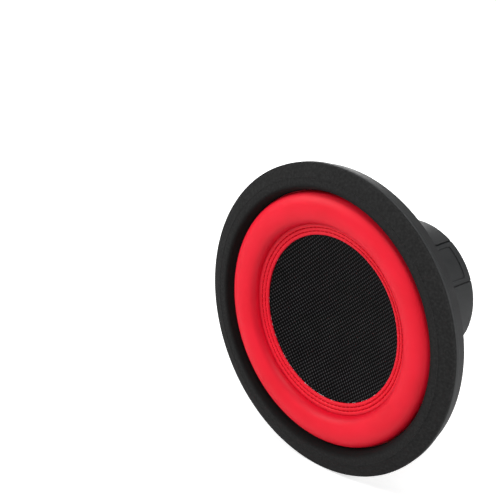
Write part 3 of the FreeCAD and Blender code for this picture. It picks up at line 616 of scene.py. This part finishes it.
# %% Skirt under the foam
SKIRT_ROUND = 0.5
SKIRT_GAP = 0.1
skirt_inside = SKIRT_INNER + SKIRT_GAP
skirt_bottom = RIM_TOP + SKIRT_GAP / 2
section = [(skirt_inside, skirt_bottom), (skirt_inside, SKIRT_TOP)]
section += arc((SKIRT_OUTER - SKIRT_ROUND, SKIRT_TOP - SKIRT_ROUND), SKIRT_ROUND, 90, 0, 5)
section += arc((SKIRT_OUTER - SKIRT_ROUND, skirt_bottom + SKIRT_ROUND), SKIRT_ROUND, 0, -90, 5)
section += [(skirt_inside, skirt_bottom)]
trim_skirt = lathe("trim_skirt", section)
dress(trim_skirt, finishes["boot_rubber"], "frame", "boot_rubber")

# %% [markdown]
# ## Surround
# A half roll with a flat foot at each side. The inner foot is sewn, so it is quilted: it swells
# beside the rows of stitches, and every stitch pulls a pucker into it. A cloth simulation would
# wrinkle it at random, but sewn foam puckers at the pitch of its stitches, so the quilting is in
# the turned section and a wave round each row gives the puckers.

# %% Sizes of the surround
ROLL_OUTER = 88.5
ROLL_INNER = 66.5
ROLL_STEPS = 40
ROLL_FULLNESS = 0.86
VALLEY_TOP = 10.5
VALLEY_SINK = 0.4
VALLEY_FOOT = (0.25, 0.35)
SKIN = 1.2
DISH_RADIUS = 58.3
FLANGE_EDGE_TOP = 9.0
FLANGE_RINGS = np.arange(65.9, 58.9, -0.3)
CUT_EDGE = ((0.12, 0.15), (0.0, 0.5))
SOFT_STEP = 0.5
STITCH_RADII = (60.9, 63.5)
STITCH_DIP = 0.6
STITCH_REACH = 0.42
SWELL = 0.12
print("roll from", ROLL_INNER, "to", ROLL_OUTER, "and stitches at", STITCH_RADII)


# %% Lines of the surround's section
def flange_top(radius):
    """The inner flange climbs from the dish to the foot of the roll."""
    climb = (VALLEY_TOP - FLANGE_EDGE_TOP) * (radius - DISH_RADIUS)
    return FLANGE_EDGE_TOP + climb / (ROLL_INNER - DISH_RADIUS)


def flange_relief(radius):
    """The skin swells between the stitch rows and is drawn in along each of them."""
    drawn_in = sum(math.exp(-(((radius - row) / STITCH_REACH) ** 2)) for row in STITCH_RADII)
    return SWELL - STITCH_DIP * drawn_in


def roll_arc(sink, steps):
    """The half roll as part of an ellipse, from its outer foot over the crest to the valley."""
    middle = (ROLL_OUTER + ROLL_INNER) / 2
    half = (ROLL_OUTER - ROLL_INNER) / 2 - sink
    points = []
    for index in range(steps + 1):
        turn = math.pi * index / steps
        base = FOOT_TOP if turn < math.pi / 2 else VALLEY_TOP - VALLEY_SINK
        rise = (ROLL_CREST - sink - base) * math.sin(turn) ** ROLL_FULLNESS
        points.append((middle + half * math.cos(turn), base + rise))
    return points


# %% Surround
section = [(FOOT_OUTER, FOOT_BOTTOM), (FOOT_OUTER, FOOT_TOP), (ROLL_OUTER + SOFT_STEP, FOOT_TOP)]
section += roll_arc(0, ROLL_STEPS)
section += [(ROLL_INNER - VALLEY_FOOT[0], VALLEY_TOP - VALLEY_FOOT[1])]
section += [(radius, flange_top(radius) + flange_relief(radius)) for radius in FLANGE_RINGS]
section += [(DISH_RADIUS + SOFT_STEP, flange_top(DISH_RADIUS + SOFT_STEP))]
section += [(DISH_RADIUS + outwards, FLANGE_EDGE_TOP - drop) for outwards, drop in CUT_EDGE]
section += [(DISH_RADIUS, FOOT_BOTTOM), (ROLL_INNER + SKIN, FOOT_BOTTOM)]
section += list(reversed(roll_arc(SKIN, ROLL_STEPS)[1:-1]))
section += [(ROLL_OUTER - SKIN, FOOT_BOTTOM), (FOOT_OUTER, FOOT_BOTTOM)]
surround = lathe("surround_roll", section, segments=432, smooth=60)
print("rings in the surround:", len(section) - 1)

# %% Puckers along the stitch rows
STITCH_PITCH = 3.7
PUCKER = 0.28
PUCKER_REACH = 1.6 * STITCH_REACH
ABOVE_FOOT = 0.2


def stitch_count(row):
    """How many stitches go round a row."""
    return round(2 * math.pi * row / STITCH_PITCH)


def places_and_radii(piece):
    """The piece's points in millimetres, and how far each is from the speaker's axis."""
    points = np.array([v.co for v in piece.data.vertices], dtype=float) / MM
    return points, np.hypot(points[:, 0], points[:, 2])


points, radii = places_and_radii(surround)
angles = np.arctan2(points[:, 2], points[:, 0])
on_front = (-points[:, 1] > FOOT_BOTTOM + ABOVE_FOOT) & (radii < ROLL_INNER - SOFT_STEP)
for row in STITCH_RADII:
    near = np.exp(-(((radii - row) / PUCKER_REACH) ** 2))
    between_stitches = 0.5 - 0.5 * np.cos(stitch_count(row) * angles)
    points[:, 1] += PUCKER * on_front * near * between_stitches
surround.data.vertices.foreach_set("co", (points * MM).astype(np.float32).ravel())
surround.data.update()
print("puckers:", [stitch_count(row) for row in STITCH_RADII])

# %% [markdown]
# The roll crosses from the still basket to the moving cone. Its place is baked into its mesh, and
# it is given no body.


# %% Bake the ring's place into its mesh
def follow_by_radius(piece):
    """Bakes a ring's place into its mesh."""
    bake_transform(piece)


follow_by_radius(surround)
dress(surround, red_skin, None, "surround_rubber", "surround")

# %% [markdown]
# ## Stitches
# The skin is sewn to the cone with two rows of lockstitch. One stitch is a short bead of thread
# that dives into the skin at both ends. A bump could draw the dashes, but they would look flat from
# the side. So a bead is drawn out of a six-sided circle, section by section, and each section is
# resized and sunk. A loop then sets copies of it round the row.


# %% Small beads
def drawn_bead(name, sides, stations):
    """A closed bead along +Z. A station is its place along, its radius and its height, in mm."""
    bpy.ops.object.select_all(action="DESELECT")
    along, radius, height = stations[0]
    bpy.ops.mesh.primitive_circle_add(
        vertices=sides, radius=radius * MM, fill_type="NGON", location=(0, -height * MM, along * MM)
    )
    bead = bpy.context.object
    bead.name = name
    bpy.ops.object.transform_apply(location=True, rotation=True, scale=True)
    bpy.ops.object.mode_set(mode="EDIT")
    bpy.ops.mesh.select_all(action="SELECT")
    for next_along, next_radius, next_height in stations[1:]:
        step = (0, (height - next_height) * MM, (next_along - along) * MM)
        bpy.ops.mesh.extrude_region_move(TRANSFORM_OT_translate={"value": step})
        centre = (0, -next_height * MM, next_along * MM)
        share = next_radius / radius
        bpy.ops.transform.resize(value=(share, share, share), center_override=centre)
        along, radius, height = next_along, next_radius, next_height
    close_edit(60)
    return bead


def join_pieces(name, pieces):
    """Several objects made one."""
    bpy.ops.object.select_all(action="DESELECT")
    for piece in pieces:
        piece.select_set(True)
    bpy.context.view_layer.objects.active = pieces[0]
    bpy.ops.object.join()
    joined = bpy.context.object
    joined.name = name
    print(name, "is made of", len(pieces))
    return joined


def copies_joined(name, pattern, places):
    """One piece out of copies of a pattern, each with its own mesh moved by its matrix."""
    copies = []
    for place_matrix in places:
        copy = pattern.copy()
        copy.data = pattern.data.copy()
        copy.data.transform(place_matrix)
        bpy.context.collection.objects.link(copy)
        copies.append(copy)
    bpy.data.objects.remove(pattern)
    return join_pieces(name, copies)


# %% Stitches
STITCH_LENGTH = 3.0
THREAD_RADIUS = 0.27
THREAD_LIFT = 0.14
STITCH_STATIONS = (
    # share of the half length, share of the radius, rise in mm
    (-1, 0.35, -0.3), (-0.88, 0.8, -0.1), (-0.55, 1, 0.03), (0, 1.08, 0.07),
    (0.55, 1, 0.03), (0.88, 0.8, -0.1), (1, 0.35, -0.3),
)


def stitch_row(name, radius, replaced):
    """A row of beads that lie in the groove their thread has pulled."""
    height = flange_top(radius) + SWELL - STITCH_DIP + THREAD_LIFT
    stations = [
        (share * STITCH_LENGTH / 2, width * THREAD_RADIUS, height + rise)
        for share, width, rise in STITCH_STATIONS
    ]
    bead = drawn_bead(name + "_bead", 6, stations)
    count = stitch_count(radius)
    outwards = Matrix.Translation((radius * MM, 0, 0))
    turns = [2 * math.pi * index / count for index in range(count)]
    places = [Matrix.Rotation(turn, 4, "Y") @ outwards for turn in turns]
    row = copies_joined(name, bead, places)
    dress(row, thread, "cone_assembly", "stitch_thread", replaced)


stitch_row("inner_stitches", STITCH_RADII[0], "stitch_row_inner")
stitch_row("outer_stitches", STITCH_RADII[1], "stitch_row_outer")

# %% [markdown]
# ## Woven dish
# A grid whose lines run along the threads is raised where a thread lies on top and sunk between
# threads. A bump could fake this, but the threads show in profile at a low angle, so they are in
# the mesh. The grid is bent to the shallow bowl, and its edge goes under the surround's foot.

# %% Weave on a flat grid
THREAD_PITCH = 1.52
QUADS_PER_THREAD = 3
WEAVE_TURN = math.radians(-4)
DISH_DEPTH = 8.0
COVER = 0.8
RELIEF = 0.2
LEVEL_SHADE = 0.6
HIDDEN_EDGE = 2.2
reach = DISH_RADIUS + HIDDEN_EDGE
threads = 2 * math.ceil(reach / THREAD_PITCH)
bpy.ops.object.select_all(action="DESELECT")
bpy.ops.mesh.primitive_grid_add(
    x_subdivisions=threads * QUADS_PER_THREAD, y_subdivisions=threads * QUADS_PER_THREAD,
    size=threads * THREAD_PITCH * MM, rotation=(math.pi / 2, 0, 0),
)
dish = bpy.context.object
dish.name = "woven_dish"
bpy.ops.object.transform_apply(location=True, rotation=True, scale=True)
flat = np.array([v.co for v in dish.data.vertices]) / MM
across = flat[:, 0] / THREAD_PITCH
along = flat[:, 2] / THREAD_PITCH
upright_round = np.sqrt(np.clip(1 - (2 * (across % 1) - 1) ** 2, 0, 1))
level_round = np.sqrt(np.clip(1 - (2 * (along % 1) - 1) ** 2, 0, 1))
upright_over = np.sin(math.pi * along) * np.where(np.floor(across) % 2 == 0, 1, -1)
level_over = -np.sin(math.pi * across) * np.where(np.floor(along) % 2 == 0, 1, -1)
upright_height = 0.5 * upright_round + 0.5 * upright_over
level_height = 0.5 * level_round + 0.5 * level_over
relief = RELIEF * np.maximum(upright_height, level_height)
# Painted sheen: an upright thread on top is painted light, a level one is painted dark.
bright = np.clip(upright_height - np.clip(level_height, 0, 1) * LEVEL_SHADE, 0, 1)
print("threads across the dish:", threads)

# %% Bend the weave to the bowl
turned_x = flat[:, 0] * math.cos(WEAVE_TURN) - flat[:, 2] * math.sin(WEAVE_TURN)
turned_z = flat[:, 0] * math.sin(WEAVE_TURN) + flat[:, 2] * math.cos(WEAVE_TURN)
radii = np.hypot(turned_x, turned_z)
sphere = (DISH_RADIUS**2 + DISH_DEPTH**2) / (2 * DISH_DEPTH)
bowl = FOOT_BOTTOM - DISH_DEPTH + sphere - np.sqrt(sphere**2 - np.minimum(radii, DISH_RADIUS) ** 2)
height = bowl - RELIEF + np.where(radii < DISH_RADIUS, relief, 0)
moved = np.stack([turned_x, -height, turned_z], 1) * MM
dish.data.vertices.foreach_set("co", moved.astype(np.float32).ravel())
painted_sheen_layer = dish.data.attributes.new("painted_sheen", "FLOAT", "POINT")
painted_sheen_layer.data.foreach_set("value", bright.astype(np.float32))
select_only(dish)
bpy.ops.object.mode_set(mode="EDIT")
bpy.ops.mesh.select_mode(type="VERT")
bpy.ops.mesh.select_all(action="DESELECT")
bpy.ops.object.mode_set(mode="OBJECT")
dish.data.vertices.foreach_set("select", radii > reach)
bpy.ops.object.mode_set(mode="EDIT")
bpy.ops.mesh.delete(type="VERT")
bpy.ops.mesh.select_all(action="SELECT")
bpy.ops.mesh.normals_make_consistent(inside=False)
bpy.ops.object.mode_set(mode="OBJECT")
front_facing = sum(polygon.normal.y < 0 for polygon in dish.data.polygons)
if front_facing < len(dish.data.polygons) / 2:
    dish.data.flip_normals()
wall = dish.modifiers.new("wall", "SOLIDIFY")
wall.thickness = COVER * MM / 2
wall.offset = -1
bpy.ops.object.modifier_apply(modifier=wall.name)
bpy.ops.object.shade_smooth()
dress(dish, weave, "cone_assembly", "woven_fibre", "cone_cover")

# %% [markdown]
# Where the cloth was cut, a few glass fibres escape between it and the red skin. They are thin,
# pale and bent. Hair could be grown there, but it isn't a mesh and can't be exported as it is. So
# one fibre is drawn, and copies are set round the edge with a fixed seed, most of them at the
# bottom and on the left, where the cut is rough.

# %% Loose fibres at the edge of the weave
FIBRE_COUNT = 64
FIBRE_RADIUS = 0.08
FIBRE_SEED = 41
FIBRE_LEAN = 26
FIBRE_LIFT = 0.25
FIBRE_SIZES = (0.45, 1.0)
EDGE_STRIP = 0.5
ROUGH_MIDDLE = math.radians(255)
ROUGH_LEAST = 0.1
fibre_glass = plain_finish("loose glass fibre", ["#C4C4C6", "#F0F0F0"], 2, (0.3, 0.45), 0.4, 0.01)
fibre_piece = drawn_bead("fibre", 4, [
    (-0.9, FIBRE_RADIUS * 0.5, -0.1), (-0.4, FIBRE_RADIUS, 0.06), (0.2, FIBRE_RADIUS, 0.14),
    (0.7, FIBRE_RADIUS * 0.8, 0.1), (1.1, FIBRE_RADIUS * 0.4, 0.22),
])
chance = np.random.default_rng(FIBRE_SEED)
places = []
while len(places) < FIBRE_COUNT:
    angle = chance.uniform(0, 2 * math.pi)
    facing_rough = max(0.0, math.cos(angle - ROUGH_MIDDLE)) ** 1.5
    if chance.uniform() > ROUGH_LEAST + (1 - ROUGH_LEAST) * facing_rough:
        continue
    radius = DISH_RADIUS - chance.uniform(0.0, EDGE_STRIP)
    lean = math.radians(chance.normal(0, FIBRE_LEAN))
    size = chance.uniform(*FIBRE_SIZES)
    spot = Matrix.Translation((radius * MM, -(FOOT_BOTTOM + FIBRE_LIFT) * MM, 0))
    turn = Matrix.Rotation(-angle, 4, "Y")
    places.append(turn @ spot @ Matrix.Rotation(lean, 4, "Y") @ Matrix.Scale(size, 4))
loose_fibres = copies_joined("loose_fibres", fibre_piece, places)
dress(loose_fibres, fibre_glass, "cone_assembly", "woven_fibre")

# %% [markdown]
# ## Spider
# The spider is the corrugated cloth ring that centres the coil. Its round waves let it travel like
# a bellows. Waves pushed into a flat ring would thin its walls, so a section of waves is turned.
# Its place is baked into its mesh, as the surround's is.

# %% Spider
spider_low, spider_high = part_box("spider")
SPIDER_RADIUS = spider_high.x / MM
CLOTH_THICKNESS = 0.5
SPIDER_FOOT_TOP = CLOTH_THICKNESS - spider_high.y / MM
SPIDER_FOOT = 7.5
WAVE_OUTER = SPIDER_RADIUS - SPIDER_FOOT
WAVE_INNER = 28.25
HALF_WAVES = 10
STEPS_PER_HALF_WAVE = 6
WAVE_HEIGHT = -spider_low.y / MM - SPIDER_FOOT_TOP
FORMER_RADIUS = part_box("coil_former")[1].x / MM


def wave_height(radius):
    """Height of the cloth's front above its foot. The last half wave stops at the collar."""
    turns = (WAVE_OUTER - radius) / (WAVE_OUTER - WAVE_INNER) * HALF_WAVES
    if turns <= HALF_WAVES - 1:
        return WAVE_HEIGHT / 2 * (1 - math.cos(math.pi * turns))
    return WAVE_HEIGHT / 4 * (3 + math.cos(math.pi * (turns - HALF_WAVES + 1)))


wave_points = HALF_WAVES * STEPS_PER_HALF_WAVE
front = [(SPIDER_RADIUS, SPIDER_FOOT_TOP)]
for index in range(wave_points + 1):
    radius = WAVE_OUTER + (WAVE_INNER - WAVE_OUTER) * index / wave_points
    front.append((radius, SPIDER_FOOT_TOP + wave_height(radius)))
front += [(FORMER_RADIUS, SPIDER_FOOT_TOP + WAVE_HEIGHT / 2)]
rear = [(radius, height - CLOTH_THICKNESS) for radius, height in reversed(front)]
spider = lathe("spider_cloth_ring", front + rear + front[:1], segments=192, smooth=50)
follow_by_radius(spider)
dress(spider, stiff_cloth, None, "spider_cloth", "spider")

# %% [markdown]
# ## Leads
# Four braided copper leads run from the terminals to the studs in the cone. Each hangs in a loose
# bow, so that the cone can travel. A bump on one thick wire would lose the braid's open outline, so
# the strands are real. A lead's line is a NURBS curve guided by its route, and eight thin strands
# wind round that line, four each way, over and under each other.

# %% Routes of the leads
TERMINAL_ANGLES = {"upper": math.radians(112.5), "lower": math.radians(292.5)}
POST_SHIFT = {"positive": 8.0, "negative": -8.0}
STUD_BOTTOM = -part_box("lead_rivets")[1].y / MM
STUD_CIRCLE = 42.5
STUD_RUN = 6.4
LEAD_ROUTE = (
    # outwards from the axis, sideways from the post, height
    (82.0, 0.0, -17.4), (75.0, 0.0, -17.4), (66.4, 0.5, -19.0), (57.8, 0.9, -18.9),
    (49.6, 0.5, -18.0), (STUD_CIRCLE, 0.0, STUD_BOTTOM - STUD_RUN),
    (STUD_CIRCLE, 0.0, STUD_BOTTOM),
)


def at_terminal(side, outwards, sideways, height):
    """A point beside one terminal block, in metres."""
    angle = TERMINAL_ANGLES[side]
    return Vector((
        outwards * math.cos(angle) - sideways * math.sin(angle), -height,
        outwards * math.sin(angle) + sideways * math.cos(angle),
    )) * MM


def smooth_line(name, points, spacing_mm):
    """Evenly spaced points read from the NURBS curve of a route."""
    line = bpy.data.curves.new(name, "CURVE")
    line.dimensions = "3D"
    spline = line.splines.new("NURBS")
    spline.points.add(len(points) - 1)
    for point, spot in zip(spline.points, points):
        point.co = (*spot, 1)
    spline.order_u = 3
    spline.use_endpoint_u = True
    spline.resolution_u = 24
    holder = bpy.data.objects.new(name, line)
    bpy.context.collection.objects.link(holder)
    drawn = bpy.data.meshes.new_from_object(holder)
    read = np.array([v.co for v in drawn.vertices])
    bpy.data.objects.remove(holder)
    lengths = np.concatenate([[0], np.cumsum(np.linalg.norm(np.diff(read, axis=0), axis=1))])
    even = np.linspace(0, lengths[-1], round(lengths[-1] / (spacing_mm * MM)) + 1)
    return np.stack([np.interp(even, lengths, read[:, axis]) for axis in range(3)], 1), lengths[-1]


print("a lead's route has", len(LEAD_ROUTE), "points and ends at", round(STUD_BOTTOM, 2))


# %% Wires along curves
def round_curve(name, radius_mm, bevel_steps):
    """An empty curve that a wire of the given radius will follow."""
    curve = bpy.data.curves.new(name, "CURVE")
    curve.dimensions = "3D"
    curve.bevel_depth = radius_mm * MM
    curve.bevel_resolution = bevel_steps
    return curve


def straight_runs(curve, spots):
    """A spline through the spots, which are an array of places in metres."""
    spline = curve.splines.new("POLY")
    spline.points.add(len(spots) - 1)
    with_weight = np.concatenate([spots, np.ones((len(spots), 1))], 1)
    spline.points.foreach_set("co", with_weight.astype(np.float32).ravel())
    return spline


def made_mesh(name, curve):
    """A finished curve as a smooth piece."""
    holder = bpy.data.objects.new(name, curve)
    bpy.context.collection.objects.link(holder)
    select_only(holder)
    bpy.ops.object.convert(target="MESH")
    bpy.ops.object.shade_smooth()
    return bpy.context.object


# %% One braid
LEAD_RADIUS = 0.7
STRAND_RADIUS = 0.19
STRANDS_EACH_WAY = 4
BRAID_LAY = 7.0
BRAID_RISE = 0.1
FIRST_SIDE = (0, 1, 0.3)


def braid(name, line, length):
    """Strands wound both ways round a line."""
    forward = np.gradient(line, axis=0)
    forward /= np.linalg.norm(forward, axis=1)[:, None]
    side = np.cross(forward[0], FIRST_SIDE)
    sides = []
    for way in forward:
        side = side - way * side.dot(way)
        side = side / np.linalg.norm(side)
        sides.append(side)
    sides = np.array(sides)
    ups = np.cross(forward, sides)
    travel = np.linspace(0, length / MM, len(line))
    winding = 2 * math.pi * travel / BRAID_LAY
    rise = BRAID_RISE * np.cos(STRANDS_EACH_WAY * winding)
    curve = round_curve(name, STRAND_RADIUS, 0)
    curve.use_fill_caps = True
    middle = LEAD_RADIUS - STRAND_RADIUS - BRAID_RISE
    for hand in (1, -1):
        for index in range(STRANDS_EACH_WAY):
            turn = (hand * winding + 2 * math.pi * index / STRANDS_EACH_WAY)[:, None]
            reach = ((middle + hand * rise) * MM)[:, None]
            straight_runs(curve, line + reach * (np.cos(turn) * sides + np.sin(turn) * ups))
    return made_mesh(name, curve)


# %% Braided leads
SAMPLE = 0.29
for side_name in TERMINAL_ANGLES:
    for pole, shift in POST_SHIFT.items():
        route = [
            at_terminal(side_name, outwards, shift + math.copysign(aside, shift), height)
            for outwards, aside, height in LEAD_ROUTE
        ]
        name = f"{side_name}_{pole}_lead"
        line, length = smooth_line(name + "_line", route, SAMPLE)
        lead = braid(name + "_braid", line, length)
        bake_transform(lead)
        dress(lead, finishes["lead_braid"], None, "lead_braid", name)
        print(name, "is", round(length / MM, 1), "mm long")

# %% [markdown]
# ## Springs
# A small coil spring pushes each terminal button out, and shortens when the button is pressed; here
# it is built at one length. A wire could follow a drawn curve, but its pitch would be only as even
# as the curve. Here the Screw modifier carries a small circle round and up an axis, so the pitch is
# exact.

# %% Springs
WIRE_RADIUS = 0.25
COIL_RADIUS = 2.7
WIRE_SIDES = 10
SPRING_TURNS = 4.5
STEPS_PER_TURN = 24


def coil_spring(name, node, side_name, pole):
    """A spring that fills its CAD node's length and stays with the block as its button moves."""
    outward = at_terminal(side_name, 1 / MM, 0, 0)
    points = [outward.dot(v.co) for v in frame["nodes"][node].data.vertices]
    inner, outer = min(points) / MM, max(points) / MM
    run = outer - inner - 2 * WIRE_RADIUS
    low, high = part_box(node)
    middle_height = -(low.y + high.y) / 2 / MM
    bpy.ops.object.select_all(action="DESELECT")
    bpy.ops.mesh.primitive_circle_add(
        vertices=WIRE_SIDES, radius=WIRE_RADIUS * MM,
        location=(COIL_RADIUS * MM, 0, 0), rotation=(math.pi / 2, 0, 0),
    )
    spring = bpy.context.object
    spring.name = name
    bpy.ops.object.transform_apply(location=True, rotation=True, scale=True)
    screw = spring.modifiers.new("screw", "SCREW")
    screw.axis = "Z"
    screw.angle = SPRING_TURNS * 2 * math.pi
    screw.screw_offset = run * MM
    screw.steps = round(SPRING_TURNS * STEPS_PER_TURN)
    screw.render_steps = screw.steps
    bpy.ops.object.modifier_apply(modifier=screw.name)
    bpy.ops.object.mode_set(mode="EDIT")
    bpy.ops.mesh.select_all(action="SELECT")
    bpy.ops.mesh.fill_holes(sides=0)
    close_edit(50)
    start = at_terminal(side_name, inner + WIRE_RADIUS, POST_SHIFT[pole], middle_height)
    pointed_out = outward.to_track_quat("Z", "Y").to_matrix().to_4x4()
    spring.data.transform(Matrix.Translation(start) @ pointed_out)
    dress(spring, finishes["spring_steel"], "frame", "spring_steel", node)
    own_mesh(spring)


for side_name in TERMINAL_ANGLES:
    for pole in POST_SHIFT:
        coil_spring(f"{side_name}_{pole}_coil", f"{side_name}_{pole}_spring", side_name, pole)

# %% [markdown]
# ## Boot trim
# The four recessed panels of the rubber boot have a thin raised bead round them. It is moulded with
# the boot. An inset of the boot's own faces could give it too, but the boot keeps its CAD shape. So
# a small circle is carried along the panel's front edge, down its side and back.

# %% Outline of a boot panel
boot_low, boot_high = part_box("magnet_boot")
BOOT_RADIUS = boot_high.x / MM
BOOT_FRONT = -boot_low.y / MM
BOOT_REAR = -boot_high.y / MM
PANEL_ANGLES = (41.5, 138.5, 221.5, 318.5)
PANEL_HALF_SPAN = 14.4
BEAD_RADIUS = 0.28
BEAD_SINK = 0.1
BEAD_CORNER = 1.5
PANEL_MARGIN = 3.5
REAR_ROUND = 2.2
BAND_DEPTH = 0.6
PANEL_FRONT = BOOT_FRONT - PANEL_MARGIN
PANEL_REAR = BOOT_REAR + REAR_ROUND + PANEL_MARGIN
BAND_RADIUS = BOOT_RADIUS - BAND_DEPTH
CORNER_STEPS = 6
DEGREES_PER_STEP = 2
MM_PER_STEP = 3


def panel_outline():
    """Points round a panel as degrees from its middle and height, with rounded corners."""
    corner_turn = math.degrees(BEAD_CORNER / BAND_RADIUS)
    points = []
    corners = (
        (1, PANEL_FRONT, 0), (-1, PANEL_FRONT, 90), (-1, PANEL_REAR, 180), (1, PANEL_REAR, 270),
    )
    for hand, height, start_angle in corners:
        inward = -1 if height == PANEL_FRONT else 1
        for index in range(CORNER_STEPS + 1):
            turn = math.radians(start_angle + 90 / CORNER_STEPS * index)
            points.append((
                hand * (PANEL_HALF_SPAN - corner_turn) + corner_turn * math.cos(turn),
                height + inward * BEAD_CORNER + BEAD_CORNER * math.sin(turn),
            ))
    return points


print("points round one panel:", len(panel_outline()))


# %% Beads round the boot panels
def bead_round_panel(name, middle_angle):
    """A closed wire round one panel, wrapped on the boot and sunk into it by a little."""
    outline = panel_outline()
    reach = BAND_RADIUS - BEAD_SINK
    spots = []
    for (turn, height), (next_turn, next_height) in zip(outline, outline[1:] + outline[:1]):
        wide = abs(next_turn - turn) / DEGREES_PER_STEP
        high = abs(next_height - height) / MM_PER_STEP
        steps = max(1, round(wide), round(high))
        for index in range(steps):
            share = index / steps
            angle = math.radians(middle_angle + turn + (next_turn - turn) * share)
            up = height + (next_height - height) * share
            spots.append((reach * math.cos(angle) * MM, -up * MM, reach * math.sin(angle) * MM))
    curve = round_curve(name, BEAD_RADIUS, 1)
    straight_runs(curve, np.array(spots)).use_cyclic_u = True
    return made_mesh(name, curve)


beads = [
    bead_round_panel(f"panel_bead_{index}", angle) for index, angle in enumerate(PANEL_ANGLES)
]
panel_beads = join_pieces("boot_panel_beads", beads)
dress(panel_beads, finishes["boot_rubber"], "frame", "boot_rubber")
